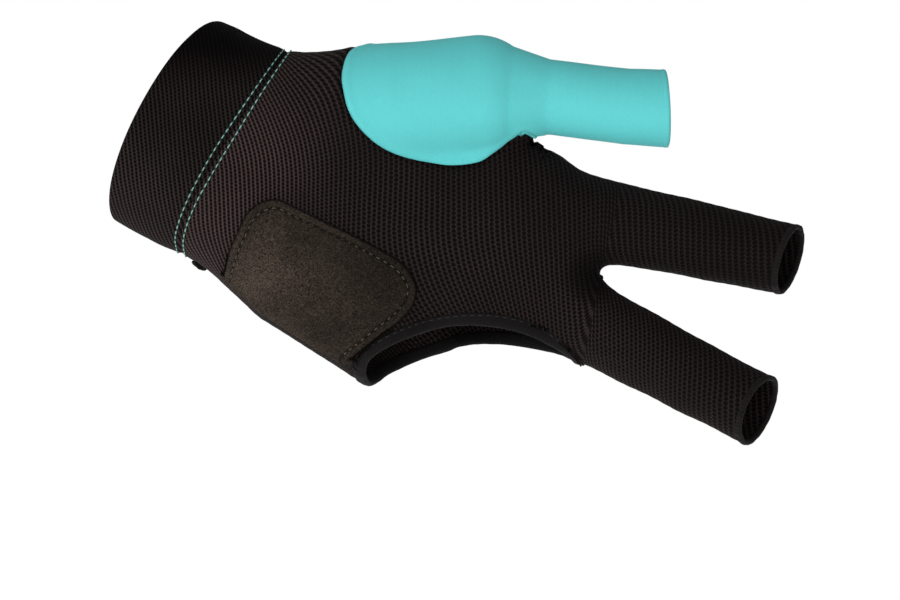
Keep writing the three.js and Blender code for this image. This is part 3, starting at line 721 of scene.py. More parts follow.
def makeThumb():
    # each half runs from the panel's wrist edge to the hem; its low side follows the panel's edge round
    # to the crotch, then the outline
    shares = eased(thumb["half"], 0.5)
    rows = thumb["edgeRows"] + thumb["sleeveRows"]
    topRun = outlineAt(marks["thumbStart"] + eased(rows, 0.45) * (marks["thumbTop"] - marks["thumbStart"]))
    lowRun = outlineRun(marks["thumbCrotch"], marks["thumbLow"], thumb["sleeveRows"] + 1)
    points, places, hems = [], [], []
    for side, bow in ((palm, thumb["palmBow"]), (back, thumb["backBow"])):
        edge = thumbEdge[side]
        corner = np.linalg.norm(edge[:, [0, 2]] - np.array(thumb["corner"][side]), axis=1).argmin()
        first = toSurface(atShares(edge[:corner + 1], shares))
        rise = toSurface(atShares(edge[corner:], np.linspace(0, 1, thumb["edgeRows"] + 1)))
        hem = lineAcross(marks["thumbLow"], marks["thumbTop"], bow, side, shares)[::-1]
        first[0], rise[0], rise[-1] = topRun[0], first[-1], lowRun[0]
        hem[0], hem[-1] = topRun[-1], lowRun[-1]
        grid = relaxed(patchOf(first, hem, topRun, np.concatenate([rise, lowRun[1:]])), 60)
        points.append((grid + thumbRelief(grid)[..., None] * normalsAt(grid)).reshape(-1, 3))
        places.append(unrolled(grid, thumb["half"] // 2, 0))
        hems.append(hem)
    # the halves share the points of the top outline, and of the low one from the crotch on
    palmNumbers = gridNumbers(grid)
    backNumbers = palmNumbers + palmNumbers.size
    backNumbers[:, 0] = palmNumbers[:, 0]
    backNumbers[thumb["edgeRows"]:, -1] = palmNumbers[thumb["edgeRows"]:, -1]
    faces = np.concatenate([corners(palmNumbers), corners(backNumbers[:, ::-1])])
    places = np.concatenate([corners(places[0]), corners(places[1][:, ::-1])])
    used, faces = np.unique(faces, return_inverse=True)
    points = np.concatenate(points)[used]
    return clothPiece("thumbLycra", points, faces.reshape(-1, 4), places, thumb["wall"]), hems


thumbLycra, thumbHems = makeThumb()
print("thumb", len(thumbLycra.data.polygons))

# Cuff: a doubled knit band, folded at the wrist edge and sewn on at the join
cuff = {
    "edgeX": (1.7, 4.3), "edgeBow": (8.6, 7.0),
    "outside": 0.4, "inside": -1.6, "rows": 36, "half": 110, "foldRows": 9, "uneven": 0.2,
    "joinDrop": (0.5, 0.7), "seam": (0.2, 0.7), "flatter": (0.6, 4), "calm": 4, "rise": 3.5,
    "folds": [([(2, 24), (9, 22), (16, 21)], 0.25, 1.8), ([(1, 17), (8, 14.5), (15, 13)], 0.22, 2.2),
              ([(-2, 4), (6, 3), (14, 2.5)], 0.12, 2.4), ([(0, -22), (8, -23), (15, -24)], 0.15, 2.0)],
}


def makeCuff():
    shares = eased(cuff["half"], 0.3)
    edgeLow, edgeTop = sideMark(cuff["edgeX"][0], False), sideMark(cuff["edgeX"][1], True)
    count = cuff["rows"] + 1
    lowRun = outlineRun(edgeLow, joinMarks["low"], count)
    topRun = outlineRun(edgeTop, joinMarks["top"], count)
    halves = {}
    for side in (palm, back):
        edge = lineAcross(edgeLow, edgeTop, cuff["edgeBow"][0 if side == palm else 1], side, shares)
        halves[side] = patchOf(edge, joinLine(side, shares), lowRun, topRun)
    grid = np.concatenate([halves[palm], halves[back][:, -2:0:-1]], axis=1)
    normals = normalsAt(grid)
    fromEdge = np.concatenate([np.zeros((1, grid.shape[1])),
                               np.cumsum(np.linalg.norm(np.diff(grid, axis=0), axis=2), axis=0)])
    toJoin = fromEdge[-1] - fromEdge
    relief = cuff["uneven"] * ripples(grid, 16, 3) * ramp(toJoin, 0, cuff["calm"])
    relief += creaseRelief(grid, cuff["folds"], palm, 50, None)
    drop, reach = cuff["joinDrop"]
    outside = cuff["outside"] * ramp(toJoin, 0, cuff["rise"]) - drop * bell(toJoin, reach) + relief
    # flatter along the little finger side, with the seam there
    apart, _ = nearestOn(outlineRun(edgeLow, joinMarks["low"]), grid)
    outside -= cuff["seam"][0] * bell(apart, cuff["seam"][1])
    outside -= cuff["flatter"][0] * bell(apart, cuff["flatter"][1]) * ramp(toJoin, 0, cuff["calm"])
    inside = np.full_like(outside, cuff["inside"]) + relief
    outer = grid + outside[..., None] * normals
    inner = grid + inside[..., None] * normals
    # the fold at the wrist edge is half round, from the outer face to the inner one
    angle = np.linspace(0, np.pi, cuff["foldRows"] + 2)[1:-1, None, None]
    middle, radius = (outer[0] + inner[0]) / 2, (outer[0] - inner[0]) / 2
    run = grid[1] - grid[0]
    run /= np.linalg.norm(run, axis=1, keepdims=True)
    size = np.linalg.norm(radius, axis=1, keepdims=True)
    fold = middle + np.cos(angle) * radius - np.sin(angle) * size * run
    section = np.concatenate([outer[::-1], fold, inner])
    flat = unrolled(np.concatenate([grid, grid[:, :1]], axis=1), cuff["half"] // 2, 0)
    place = knitPlace(flat, onCuff=True)
    foldPlace = np.repeat(place[:1], cuff["foldRows"], axis=0)
    foldPlace[..., 0] -= np.linspace(0.3, 2.8, cuff["foldRows"])[:, None]
    places = np.concatenate([place[::-1], foldPlace, place, place[-1:]])
    return closedPiece("cuffKnit", section.reshape(-1, 3), corners(wrapped(gridNumbers(section))),
                       corners(places))


cuffKnit = makeCuff()
print("cuff", len(cuffKnit.data.polygons))


def sweepLoop(name, loop, ways, profile, wave=None):
    # a closed section carried round a closed line: each of its points lies a distance along the surface
    # from the line and a height over it; wave adds a height by the length round the line
    loop, ways = loop[:-1], ways[:-1]
    profile = np.asarray(profile, float)
    base = toSurface(loop[None] + profile[:, None, :1] * ways[None])
    height = profile[:, None, 1] + np.zeros(len(loop))
    lengths = runLengths(np.concatenate([loop, loop[:1]]))
    if wave is not None:
        height = height + wave(profile[:, None, 0], profile[:, None, 1], lengths[None, :-1])
    points = base + height[..., None] * normalsAt(base)
    girth = runLengths(np.concatenate([profile, profile[:1]]))
    places = np.stack(np.broadcast_arrays(lengths[None, :], girth[:, None]), axis=-1)
    return closedPiece(name, points.reshape(-1, 3), corners(wrapped(gridNumbers(points))), corners(places))


# Tape folded over the edge of the ring and little finger opening
tape = {
    "width": 3.5, "over": 0.5, "under": -1.35, "stitch": 2.85, "stitchPitch": 2.3,
    "profile": [(3.55, -0.2), (3.5, 0.2), (3.2, 0.42), (2.85, 0.4), (2.2, 0.55), (1.4, 0.6), (0.7, 0.52),
                (0.2, 0.28), (-0.12, -0.12), (-0.2, -0.45), (-0.1, -0.8), (0.25, -1.15), (0.9, -1.35),
                (1.8, -1.4), (2.8, -1.35), (3.4, -1.2), (3.55, -0.8)],
}


def tapeWave(distance, height, along):
    # needle pulls along the stitch line, and a soft unevenness of the fold
    pull = bell(distance - tape["stitch"], 0.7) * (height > 0)
    return (-0.14 * (1 + np.cos(2 * np.pi * along / tape["stitchPitch"])) / 2 * pull
            + 0.07 * np.sin(2 * np.pi * along / 7.3) + 0.05 * np.sin(2 * np.pi * along / 4.1 + 1))


openingTape = sweepLoop("openingTape", openingLoop, loopWays(openingLoop), tape["profile"], tapeWave)
print("tape", len(openingTape.data.polygons))

# Rolled hems of the finger sleeves and the turned edge of the thumb sleeve
hems = {
    "profile": [(1.5, -0.1), (1.35, 0.14), (0.9, 0.24), (0.35, 0.2), (-0.05, 0.0), (-0.28, -0.4),
                (-0.2, -0.85), (0.1, -1.15), (0.7, -1.3), (1.3, -1.2), (1.5, -0.7)],
    "thumbProfile": [(1.3, -0.1), (1.1, 0.08), (0.7, 0.12), (0.25, 0.06), (-0.1, -0.15), (-0.22, -0.45),
                     (-0.1, -0.8), (0.3, -1.02), (0.9, -1.05), (1.3, -0.7)],
}


def hemLoop(palmLine, backLine):
    # one closed line round a sleeve's end from its two halves, evenly spaced
    loop = np.concatenate([palmLine, backLine[-2::-1]])
    return atShares(loop, np.linspace(0, 1, 181))


def hemWave(distance, height, along):
    # soft unevenness of a rolled hem
    return 0.1 * np.sin(2 * np.pi * along / 5.3) + 0.07 * np.sin(2 * np.pi * along / 3.1 + 2)


hemPieces = {}
for key, inside in (("index", (150, -18, 32)), ("middle", (155, -18, -2))):
    loop = hemLoop(palmHems[key], backHems[key])
    hemPieces[key] = sweepLoop(key + "Hem", loop, loopWays(loop, inside), hems["profile"], hemWave)
loop = hemLoop(thumbHems[0], thumbHems[1])
hemPieces["thumb"] = sweepLoop("thumbHem", loop, loopWays(loop, (100, -17, 54)), hems["thumbProfile"])
print("hems done")

# Suede patch on the heel of the hand
suede = {
    "wall": 0.95,
    "top": [(36, -9.5), (38.2, -7.7), (40.3, -6.9), (44.6, -6.9), (55.4, -7.1), (65.1, -7.2), (77.7, -8.2),
            (82, -10), (85.2, -13)],
    "fingers": [(85.2, -13), (86.2, -17), (85.5, -21.5), (81, -31), (76.6, -39.4)],
    "wrist": [(36, -9.5), (34.3, -12), (33.4, -15.3), (33.4, -20), (33.6, -26.5), (34.9, -32.4)],
    "inset": 1.3, "long": 120, "wide": 80,
    "stitch": 2.5, "stitchPitch": 2.3, "height": 0.75, "valley": (0.4, 0.55), "lip": (0.14, 0.8),
    "puff": 0.12, "cut": (0.3, 0.35), "seamDrop": (0.7, 0.8), "uneven": 0.12,
}


def makeSuede():
    # the free edge is one smooth line, cut at the two corners of the grid
    rows = suede["wrist"][::-1] + suede["top"][1:] + suede["fingers"][1:]
    outer = planLine(rows, np.linspace(0, 1, 1200))
    first, second = [np.linalg.norm(outer - suede["top"][k], axis=1).argmin() for k in (0, -1)]
    slowing = np.sin(np.pi / 2 * np.linspace(0, 1, suede["wide"] + 1)) ** 1.1
    top = lift(atShares(outer[first:second + 1], np.linspace(0, 1, suede["long"] + 1)), palm)
    fingers = lift(atShares(outer[second:], slowing), palm)
    wrist = lift(atShares(outer[first::-1], slowing), palm)
    start, end = markNear(*wrist[-1, [0, 2]]), markNear(*fingers[-1, [0, 2]])
    seam = outlineAt(np.linspace(start, end, suede["long"] + 1))
    flat = normalsAt(seam)[:, [0, 2]]
    seamPlan = seam[:, [0, 2]] - suede["inset"] * flat / np.linalg.norm(flat, axis=1, keepdims=True)
    seam = lift(seamPlan, palm)
    seam[0], seam[-1] = wrist[-1], fingers[-1]
    grid = patchOf(top, seam, wrist, fingers)
    free = np.concatenate([wrist[::-1], top[1:], fingers[1:]])
    free = toSurface(atShares(free, np.linspace(0, 1, 900)))
    gap, along = nearestOn(free, grid)
    sideGap, _ = nearestOn(toSurface(seam), grid)
    waves = 1 + 0.5 * np.cos(2 * np.pi * along / suede["stitchPitch"])
    height = suede["height"] + suede["puff"] * ramp(gap, 2.6, 6) + suede["uneven"] * ripples(grid, 15, 9)
    height += suede["lip"][0] * bell(gap - 1.0, suede["lip"][1]) * (1 + 0.25 * np.sin(along * 1.1))
    height -= suede["valley"][0] * waves / 1.5 * bell(gap - suede["stitch"], suede["valley"][1])
    height -= suede["cut"][0] * bell(gap, suede["cut"][1])
    height -= suede["seamDrop"][0] * bell(sideGap, suede["seamDrop"][1])
    points = (grid + height[..., None] * normalsAt(grid)).reshape(-1, 3)
    places = corners(np.stack([along, gap], axis=-1))
    return clothPiece("heelSuede", points, corners(gridNumbers(grid)), places, suede["wall"]), free


heelSuede, suedeFree = makeSuede()
print("suede", len(heelSuede.data.polygons))


def stitchRow(line, closed, lifted, look):
    # stitches along a line on the surface: each is a small spindle whose ends dip into the cloth
    lengths = runLengths(line)
    count = int(lengths[-1] // look["pitch"])
    starts = (np.arange(count) + 0.5) * lengths[-1] / count
    steps, sides = 7, 8
    t = np.linspace(-1, 1, steps)
    at = starts[:, None] + t * look["length"] / 2
    if closed:
        at = at % lengths[-1]
    centre = np.stack([np.interp(at, lengths, line[:, k]) for k in range(3)], axis=-1)
    centre = toSurface(centre, 3)
    normal = normalsAt(centre)
    run = np.gradient(centre, axis=1)
    side = np.cross(normal, run)
    side /= np.linalg.norm(side, axis=-1, keepdims=True)
    height = lifted + look["dip"] * (-(t ** 4)) + look["radius"] * 0.3
    radius = look["radius"] * np.sqrt(1 - (0.93 * t) ** 4)
    angle = np.linspace(0, 2 * np.pi, sides, endpoint=False)[:, None]
    ring = (centre + height[:, None] * normal)[:, :, None]
    oval = np.cos(angle) * side[:, :, None] + 0.8 * np.sin(angle) * normal[:, :, None]
    ring = ring + radius[:, None, None] * oval
    numbers = np.arange(count * steps * sides).reshape(count, steps, sides)
    around = np.moveaxis(np.concatenate([numbers, numbers[:, :, :1]], axis=2), 0, -1)
    body = np.moveaxis(corners(around), -1, 0)
    caps = []
    for end, turn in ((0, 1), (-1, -1)):
        for quad in ((0, 1, 2, 3), (0, 3, 4, 7), (4, 5, 6, 7)):
            caps.append(numbers[:, end][:, list(quad[::-turn])])
    faces = np.concatenate([body.reshape(-1, 4)] + caps)
    return ring.reshape(-1, 3), faces


def stitchPiece(name, rows):
    points, faces, start = [], [], 0
    for ring, face in rows:
        points.append(ring)
        faces.append(face + start)
        start += len(ring)
    return closedPiece(name, np.concatenate(points), np.concatenate(faces))


cuffStitch = {"pitch": 2.1, "length": 1.6, "radius": 0.19, "dip": 0.3}
edgeStitch = {"pitch": 2.3, "length": 1.6, "radius": 0.17, "dip": 0.3}


def joinLoop(way):
    # a closed line round the cuff, along one of its two rows of stitches
    halves = [joinLine(side, np.linspace(0, 1, 400), way) for side in (palm, back)]
    return np.concatenate([halves[0], halves[1][-2::-1]])


cuffStitches = stitchPiece("cuffStitches", [
    stitchRow(joinLoop(way), True, lifted, cuffStitch) for way, lifted in ((-1, 0.12), (1, 0.08))])
# a thin line of thread low between the stitches; its dark teal is painted shade on the teal thread
threadRadius = 0.15
shadedThreadLines = {}
for key, way, high in (("wrist", -1, 0.1), ("hand", 1, 0.02)):
    loop = joinLoop(way)
    section = [(threadRadius * np.cos(a), high + threadRadius * np.sin(a))
               for a in np.linspace(0, 2 * np.pi, 7)[:-1]]
    shadedThreadLines[key] = sweepLoop(key + "ShadedThreadLine", loop, loopWays(loop), section)
patchLine = besideLine(suedeFree, suede["stitch"], (60, -25, -22))[5:-5]
patchStitches = stitchPiece("patchStitches", [
    stitchRow(patchLine, False, suede["height"] - 0.3, edgeStitch)])
tapeLine = besideLoop(openingLoop, tape["stitch"])
tapeStitches = stitchPiece("tapeStitches", [stitchRow(tapeLine, True, 0.36, edgeStitch)])
print("stitches done")

# Gathered end of the side seam beside the cuff
nub = {"at": (27.4, -32.2), "size": (2.2, 1.5, 1.1), "depth": -0.1}


def makeNub():
    # a lumpy ball: radius 1 + 0.12 * sin(5 * longitude) * sin(latitude) + 0.1 * sin(3 * latitude)
    place = outlineAt(markNear(*nub["at"]))
    out = normalsAt(place)
    lat, lon = np.meshgrid(np.linspace(0.06, np.pi - 0.06, 17), np.linspace(0, 2 * np.pi, 25)[:-1],
                           indexing="ij")
    radius = 1 + 0.12 * np.sin(5 * lon) * np.sin(lat) + 0.1 * np.sin(3 * lat + lon)
    shape = np.stack([np.sin(lat) * np.cos(lon), np.sin(lat) * np.sin(lon), np.cos(lat)], axis=-1)
    points = place - out * nub["depth"] + shape * radius[..., None] * np.array(nub["size"])
    numbers = wrapped(gridNumbers(points))[:-1]
    flat = points.reshape(-1, 3)
    poles = np.stack([points[0].mean(0), points[-1].mean(0)])
    caps = []
    for row, pole, turn in ((numbers[0], len(flat), 1), (numbers[-1], len(flat) + 1, -1)):
        trio = np.stack([row[:-2:2], row[1:-1:2], row[2::2], np.full(len(row[2::2]), pole)], axis=1)
        caps.append(trio[:, ::turn])
    return closedPiece("seamNub", np.concatenate([flat, poles]), np.concatenate([corners(numbers)] + caps))


seamNub = makeNub()
print("nub done")


class Value:
    # a node's socket; the operators and methods below add Math nodes
    def __init__(self, finish, socket):
        self.finish, self.socket = finish, socket

    def math(self, operation, *others):
        return self.finish.node("ShaderNodeMath", {"operation": operation},
                                dict(enumerate((self,) + others)))

    def __add__(self, other):
        return self.math("ADD", other)

    def __sub__(self, other):
        return self.math("SUBTRACT", other)

    def __mul__(self, other):
        return self.math("MULTIPLY", other)

    def __truediv__(self, other):
        return self.math("DIVIDE", other)

    def __mod__(self, other):
        return self.math("FLOORED_MODULO", other)

    def __pow__(self, other):
        return self.math("POWER", other)

    def __rsub__(self, other):
        return self.finish.node("ShaderNodeMath", {"operation": "SUBTRACT"}, {0: other, 1: self})

    __radd__ = __add__

    def floor(self):
        return self.math("FLOOR")

    def cosine(self):
        return self.math("COSINE")

    def absolute(self):
        return self.math("ABSOLUTE")

    def smooth(self, low, high, start=0.0, end=1.0):
        return self.finish.node("ShaderNodeMapRange", {"interpolation_type": "SMOOTHSTEP"},
                                {0: self, 1: low, 2: high, 3: start, 4: end})


class Finish:
    # a material whose nodes are added by type, settings and inputs
    def __init__(self, name):
        self.material = bpy.data.materials.new(name)
        self.material.use_nodes = True
        self.tree = self.material.node_tree
        self.tree.nodes.clear()

    def node(self, kind, settings=None, inputs=None, out=0):
        made = self.tree.nodes.new(kind)
        for key, value in (settings or {}).items():
            setattr(made, key, value)
        for key, value in (inputs or {}).items():
            if isinstance(value, Value):
                self.tree.links.new(value.socket, made.inputs[key])
            else:
                made.inputs[key].default_value = value
        if len(made.outputs):
            return Value(self, made.outputs[out])

    def solid(self):
        # place in the object
        return self.node("ShaderNodeTexCoord", out=3)

    def cloth(self):
        # place in the cloth: across and along a knit's columns, or along and across a seam or tape
        return self.node("ShaderNodeUVMap", {"uv_map": "cloth"})

    def parts(self, vector):
        made = self.tree.nodes.new("ShaderNodeSeparateXYZ")
        self.tree.links.new(vector.socket, made.inputs[0])
        return [Value(self, made.outputs[k]) for k in range(3)]

    def mix(self, factor, a, b):
        return self.node("ShaderNodeMix", {"data_type": "RGBA"}, {0: factor, 6: a, 7: b}, out=2)

    def shade(self, colour, light):
        # a colour made lighter or darker by a number
        if not isinstance(colour, Value):
            colour = colour[:3]
        return self.node("ShaderNodeVectorMath", {"operation": "SCALE"}, {0: colour, 3: light})

    def noise(self, vector, scale, detail=2.0, roughness=0.5):
        return self.node("ShaderNodeTexNoise", {}, {"Vector": vector, "Scale": scale, "Detail": detail,
                                                    "Roughness": roughness})

    def done(self, colour, roughness, bumps, fixed):
        # bumps are pairs of height and distance in metres, the later ones on top of the earlier
        normal = None
        for height, distance in bumps:
            inputs = {"Height": height, "Distance": distance, "Strength": 1.0}
            if normal is not None:
                inputs["Normal"] = normal
            normal = self.node("ShaderNodeBump", {}, inputs)
        inputs = {"Base Color": colour, "Roughness": roughness}
        if normal is not None:
            inputs["Normal"] = normal
        inputs.update(fixed)
        surface = self.node("ShaderNodeBsdfPrincipled", {}, inputs)
        self.node("ShaderNodeOutputMaterial", {}, {"Surface": surface})
        return self.material


studio = {"light": 0.95, "world": 0.38}


def colourOf(red, green, blue):
    # screen colour out of 255 as the light it stands for, divided by the studio's light on the glove
    part = np.array([red, green, blue]) / 255
    linear = np.where(part <= 0.04045, part / 12.92, ((part + 0.055) / 1.055) ** 2.4)
    return (*(linear / studio["light"]).tolist(), 1.0)


def lustre(gloss, sheen, tint, roughness=0.5):
    return {"Specular IOR Level": gloss, "Sheen Weight": sheen, "Sheen Roughness": roughness,
            "Sheen Tint": (*tint, 1)}


def paintedLightOverHand(f, rows):
    # painted light and shade by place over the hand
    # product of smooth rises over the hand, each from 1 to an end value between two places along x (0),
    # z (2) or up the photo (3)
    position = f.parts(f.solid())
    c, s = float(np.cos(knitLay["tilt"])), float(np.sin(knitLay["tilt"]))
    position.append(position[2] * c - position[0] * s)
    light = None
    for axis, start, end, value in rows:
        rise = position[axis].smooth(start * mm, end * mm, 1.0, value)
        light = rise if light is None else light * rise
    return light


def knitFinish(name, look):
    # columns of pinholes, every other column half a hole along, with a raised rib between columns
    f = Finish(name)
    across, along, _ = f.parts(f.cloth())
    solid = f.solid()
    wander = f.noise(solid, 260, 2)
    across = across + (wander - 0.5) * look["wander"]
    column = (across / look["pitch"]).floor()
    off = (across / look["pitch"] - column - 0.5) * look["pitch"]
    row = along / look["step"] + (column % 2.0) * 0.5
    step = (row - row.floor() - 0.5) * look["step"]
    gone = (off / look["holeWide"]) ** 2.0 + (step / look["holeLong"]) ** 2.0
    hole = gone.smooth(0.5, 1.6, 1.0, 0.0)
    rib = (off.absolute() * (2 / look["pitch"])).smooth(0.2, 0.95)
    bar = (step.absolute() * (2 / look["step"])).smooth(0.3, 1.0)
    yarn = f.noise(solid, 2600, 3, 0.65)
    patchy = f.noise(solid, 70, 3)
    height = rib * 0.55 + bar * 0.25 + (1.0 - hole) * 0.8 + yarn * 0.25
    # plain ribs near the wrist, more of a net towards the fingers
    ribbed = f.parts(solid)[0].smooth(30 * mm, 55 * mm, 1.0, 0.0)
    knots = rib * (ribbed * 0.25 + 0.55) + bar * (0.4 - ribbed * 0.15) + rib * bar * 0.3 + 0.25
    light = knots * (knots * look["depth"] + 1.05 - look["depth"])
    # the last factor paints light and shade by place over the hand; patchy is tone that differs at random
    light = light * (yarn * 1.7 + 0.15) * (patchy * 0.6 + 0.7) * paintedLightOverHand(f, look["over"])
    # shade in the valley between the index and middle fingers
    x, _, z = f.parts(solid)
    valley = (x - 128.5 * mm) ** 2.0 + (z - 10.5 * mm) ** 2.0
    light = light * valley.smooth(2 * mm**2, 85 * mm**2, 0.35, 1.0)
    colour = f.mix(hole, f.shade(look["colour"], light), look["holeColour"])
    roughness = 0.75 + yarn * 0.15
    return f.done(colour, roughness, [(height, look["relief"] * mm)],
                  lustre(*look["lustre"], (0.6, 0.5, 0.5), 0.45))


finishes = {}
finishes["mesh"] = knitFinish("meshKnit", {
    "pitch": 1.45, "step": 1.25, "holeWide": 0.34, "holeLong": 0.36, "wander": 0.35, "relief": 0.42,
    "colour": colourOf(39.5, 31, 30), "holeColour": colourOf(4, 2, 2),
    # over: painted light and shade by place, lighter towards the wrist, darker towards the thumb side and
    # the finger ends
    "over": [(0, 60, 26, 2.1), (2, 16, -22, 0.88), (2, -4, 24, 0.6), (0, 130, 170, 0.7)],
    "depth": 0.7, "lustre": (0.08, 0.01),
})
finishes["cuff"] = knitFinish("cuffRib", {
    "pitch": 1.2, "step": 1.0, "holeWide": 0.27, "holeLong": 0.26, "wander": 0.3, "relief": 0.3,
    "colour": colourOf(31, 25, 25), "holeColour": colourOf(4, 2, 2),
    # over: painted light and shade by place, much darker towards the thumb side, lighter towards the little
    # finger side
    "over": [(3, 6, 21, 0.15), (2, 6, -28, 1.8)],
    "depth": 0.2, "lustre": (0.04, 0.005),
})


def lycraFinish():
    # fine wales 0.62 mm apart and soft shading of the stretch
    f = Finish("lycra")
    place = f.solid()
    x, _, z = f.parts(place)
    c, s = np.cos(knitLay["tilt"]) / mm, np.sin(knitLay["tilt"]) / mm
    wales = ((x * float(c) + z * float(s)) * (2 * np.pi / 0.62)).cosine()
    grain = f.noise(place, 1500, 3, 0.6)
    soft = f.noise(place, 60, 2)
    light = grain * 0.14 + soft * 0.1 + 0.88 + wales * 0.02
    colour = f.shade(colourOf(92, 194, 195), light)
    height = wales * 0.15 + grain * 0.5
    return f.done(colour, 0.65 + grain * 0.1, [(height, 0.06 * mm)],
                  lustre(0.12, 0.05, (0.6, 1, 1)))


def suedeFinish():
    # short nap: fine speckle over rubbed patches, with painted shade at the cut edge and along the stitched
    # valley
    f = Finish("suede")
    place = f.solid()
    _, inside, _ = f.parts(f.cloth())
    # painted shade: darker at the cut edge and along the stitched valley
    edge = inside.smooth(0.1, 0.8, 0.06, 1.0)
    valley = ((inside - suede["stitch"]).absolute()).smooth(0.1, 0.6, 0.35, 1.0)
    nap = f.noise(place, 2300, 4, 0.75)
    hairs = f.noise(place, 900, 3, 0.7)
    rubbed = f.noise(place, 75, 3, 0.55)
    light = nap.smooth(0.33, 0.72, 0.2, 1.9) * (hairs * 1.2 + 0.4) * (rubbed * 1.3 + 0.32)
    # painted light and shade by place over the patch
    light = light * edge * valley * paintedLightOverHand(f, [(0, 40, 82, 0.55), (2, -30, -10, 0.7), (0, 40, 20, 0.8)])
    colour = f.shade(f.mix(rubbed, colourOf(56, 49, 44), colourOf(64, 55, 47)), light)
    return f.done(colour, 0.97, [(rubbed, 0.3 * mm), (nap + hairs * 0.6, 0.2 * mm)],
                  lustre(0.04, 0.02, (0.8, 0.7, 0.6), 0.6))


def tapeFinish(name, colour, pitch):
    # ribs across the tape from one thread to the next
    f = Finish(name)
    along, _, _ = f.parts(f.cloth())
    ribs = (along * (2 * np.pi / pitch)).cosine() * 0.5 + 0.5
    fuzz = f.noise(f.solid(), 2200, 3, 0.6)
    light = ribs * 0.45 + fuzz * 0.9 + 0.2
    return f.done(f.shade(colour, light), 0.8, [(ribs * 0.6 + fuzz, 0.14 * mm)],
                  lustre(0.15, 0.015, (0.6, 0.55, 0.55)))


def threadFinish(name, colour, gloss):
    # two-ply thread with fibres catching the light
    f = Finish(name)
    fibres = f.noise(f.solid(), 3000, 3, 0.7)
    return f.done(f.shade(colour, fibres * 1.0 + 0.5), 0.5, [(fibres, 0.1 * mm)],
                  lustre(gloss, gloss * 0.05, (0.8, 0.8, 0.8)))


finishes["lycra"] = lycraFinish()
finishes["suede"] = suedeFinish()
finishes["tape"] = tapeFinish("bindingTape", colourOf(13, 10, 10), 0.55)
finishes["hem"] = tapeFinish("hemRoll", colourOf(18, 13, 13), 1.1)
# the teal thread at the colour of its lit tops: its own teal with painted highlight
finishes["teal"] = threadFinish("tealThread", colourOf(124, 166, 157), 0.3)
# the same teal thread darkened as painted shade, for the line between the stitches
finishes["paintedShadeTeal"] = threadFinish("paintedShadeTealThread", colourOf(8, 66, 60), 0.3)
finishes["bundle"] = threadFinish("bundledYarn", colourOf(4, 3, 3), 0.05)
# black thread painted lighter: painted highlight for the glints of the patch's stitches
finishes["worn"] = threadFinish("wornThread", colourOf(72, 65, 57), 0.35)
finishes["black"] = threadFinish("blackThread", colourOf(18, 14, 13), 0.35)

# What each piece stands for and its finish
pieceTable = [
    (palmKnit, "mesh", "mesh_knit", ["palm_panel"]),
    (backKnit, "mesh", "mesh_knit", ["back_panel"]),
    (thumbLycra, "lycra", "thumb_lycra", ["thumb_sleeve"]),
    (cuffKnit, "cuff", "cuff_knit", ["wrist_band"]),
    (heelSuede, "suede", "suede", ["heel_patch"]),
    (openingTape, "tape", "binding_tape", ["opening_binding"]),
    (hemPieces["index"], "hem", "mesh_knit", []),
    (hemPieces["middle"], "hem", "mesh_knit", []),
    (hemPieces["thumb"], "lycra", "thumb_lycra", []),
    (cuffStitches, "teal", "cuff_knit", []),
    (shadedThreadLines["wrist"], "paintedShadeTeal", "cuff_knit", []),
    (shadedThreadLines["hand"], "paintedShadeTeal", "cuff_knit", []),
    (patchStitches, "worn", "suede", []),
    (tapeStitches, "black", "binding_tape", []),
    (seamNub, "bundle", "mesh_knit", []),
]
for piece, finish, slotName, nodes in pieceTable:
    piece.data.materials.append(finishes[finish])
    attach(piece, "root")
    if nodes:
        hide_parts(*nodes)

# The sizes the cloths were cut to, before they were stretched over the hand
sheets = [
    (palmKnit, (0.100, 0.185), "stretched", [backKnit, cuffKnit],
     [hemPieces["index"], hemPieces["middle"]]),
    (backKnit, (0.100, 0.190), "stretched", [palmKnit, cuffKnit], []),
    (thumbLycra, (0.100, 0.090), "stretched", [palmKnit, backKnit], [hemPieces["thumb"]]),
    (cuffKnit, (0.0225, 0.175), "folded", [palmKnit, backKnit], [cuffStitches, *shadedThreadLines.values()]),
    (heelSuede, (0.054, 0.036), "laid", [palmKnit], [patchStitches]),
    (openingTape, (0.010, 0.155), "folded", [palmKnit, backKnit], [tapeStitches]),
]
for piece, flat, held, under, carried in sheets:
    # area of each piece's faces; the tape is folded in two
    print(piece.name, "area of its faces", round(clothArea(piece) * 1e4, 1), "cm2")

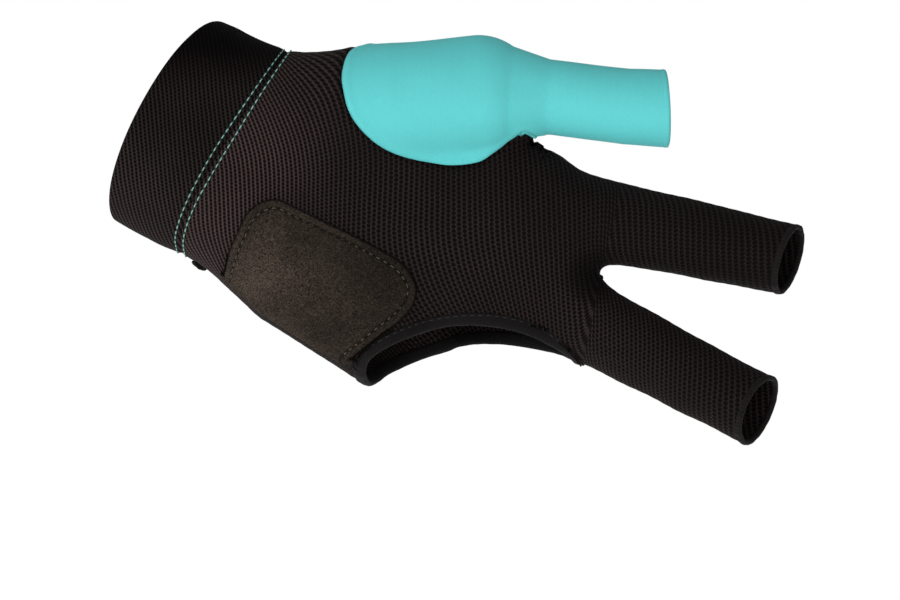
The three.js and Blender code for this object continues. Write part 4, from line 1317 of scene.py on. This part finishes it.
# Plain studio: pale floor, even white light and a soft key from the wrist side
floorReach, floorHeight = 6.0, -0.13
floorMesh = bpy.data.meshes.new("floor")
floorMesh.from_pydata([(x * floorReach, y * floorReach, floorHeight)
                       for x, y in ((-1, -1), (1, -1), (1, 1), (-1, 1))], [], [(0, 1, 2, 3)])
floor = bpy.data.objects.new("floor", floorMesh)
scene.collection.objects.link(floor)
floor.data.materials.append(Finish("paleFloor").done((0.9, 0.9, 0.9, 1), 0.9, [], {
    "Specular IOR Level": 0.1, "Emission Color": (1, 1, 1, 1), "Emission Strength": 0.75}))

# The background is white to the camera and lights the glove more weakly
world = bpy.data.worlds.new("studio")
scene.world = world
world.use_nodes = True
tree = world.node_tree
tree.nodes.clear()
seen, lighting = tree.nodes.new("ShaderNodeBackground"), tree.nodes.new("ShaderNodeBackground")
lighting.inputs["Strength"].default_value = studio["world"]
for background in (seen, lighting):
    background.inputs["Color"].default_value = (1, 1, 1, 1)
both, ray, output = [tree.nodes.new("ShaderNode" + kind)
                     for kind in ("MixShader", "LightPath", "OutputWorld")]
tree.links.new(ray.outputs["Is Camera Ray"], both.inputs[0])
tree.links.new(lighting.outputs[0], both.inputs[1])
tree.links.new(seen.outputs[0], both.inputs[2])
tree.links.new(both.outputs[0], output.inputs["Surface"])


def areaLight(name, place, target, size, power):
    data = bpy.data.lights.new(name, "AREA")
    data.size = size
    data.energy = power
    lamp = bpy.data.objects.new(name, data)
    lamp.location = place
    lamp.rotation_mode = "QUATERNION"
    lamp.rotation_quaternion = (Vector(target) - Vector(place)).to_track_quat("-Z", "Y")
    lamp.visible_camera = False
    scene.collection.objects.link(lamp)


areaLight("key", (-0.8, -1.1, -0.02), (0.08, 0, -0.01), 0.7, 7.2)
areaLight("fill", (0.5, -1.2, 0.5), (0.1, 0, 0), 0.9, 3)

# Camera: square to the palm, turned so that the wrist points up to the left
view = {"turn": np.radians(25), "away": 2.5, "width": 0.252, "centre": (0.095, -0.012, -0.0121),
        "sensor": 36}
camera = bpy.data.objects.new("camera", bpy.data.cameras.new("camera"))
camera.data.sensor_width = view["sensor"]
camera.data.lens = view["sensor"] * view["away"] / view["width"]
c, s = np.cos(view["turn"]), np.sin(view["turn"])
x, y, z = view["centre"]
camera.matrix_world = Matrix(((c, -s, 0, x), (0, 0, -1, y - view["away"]), (s, c, 0, z), (0, 0, 0, 1)))
camera.data.clip_end = 50
scene.collection.objects.link(camera)
scene.camera = camera
scene.view_settings.view_transform = "Standard"
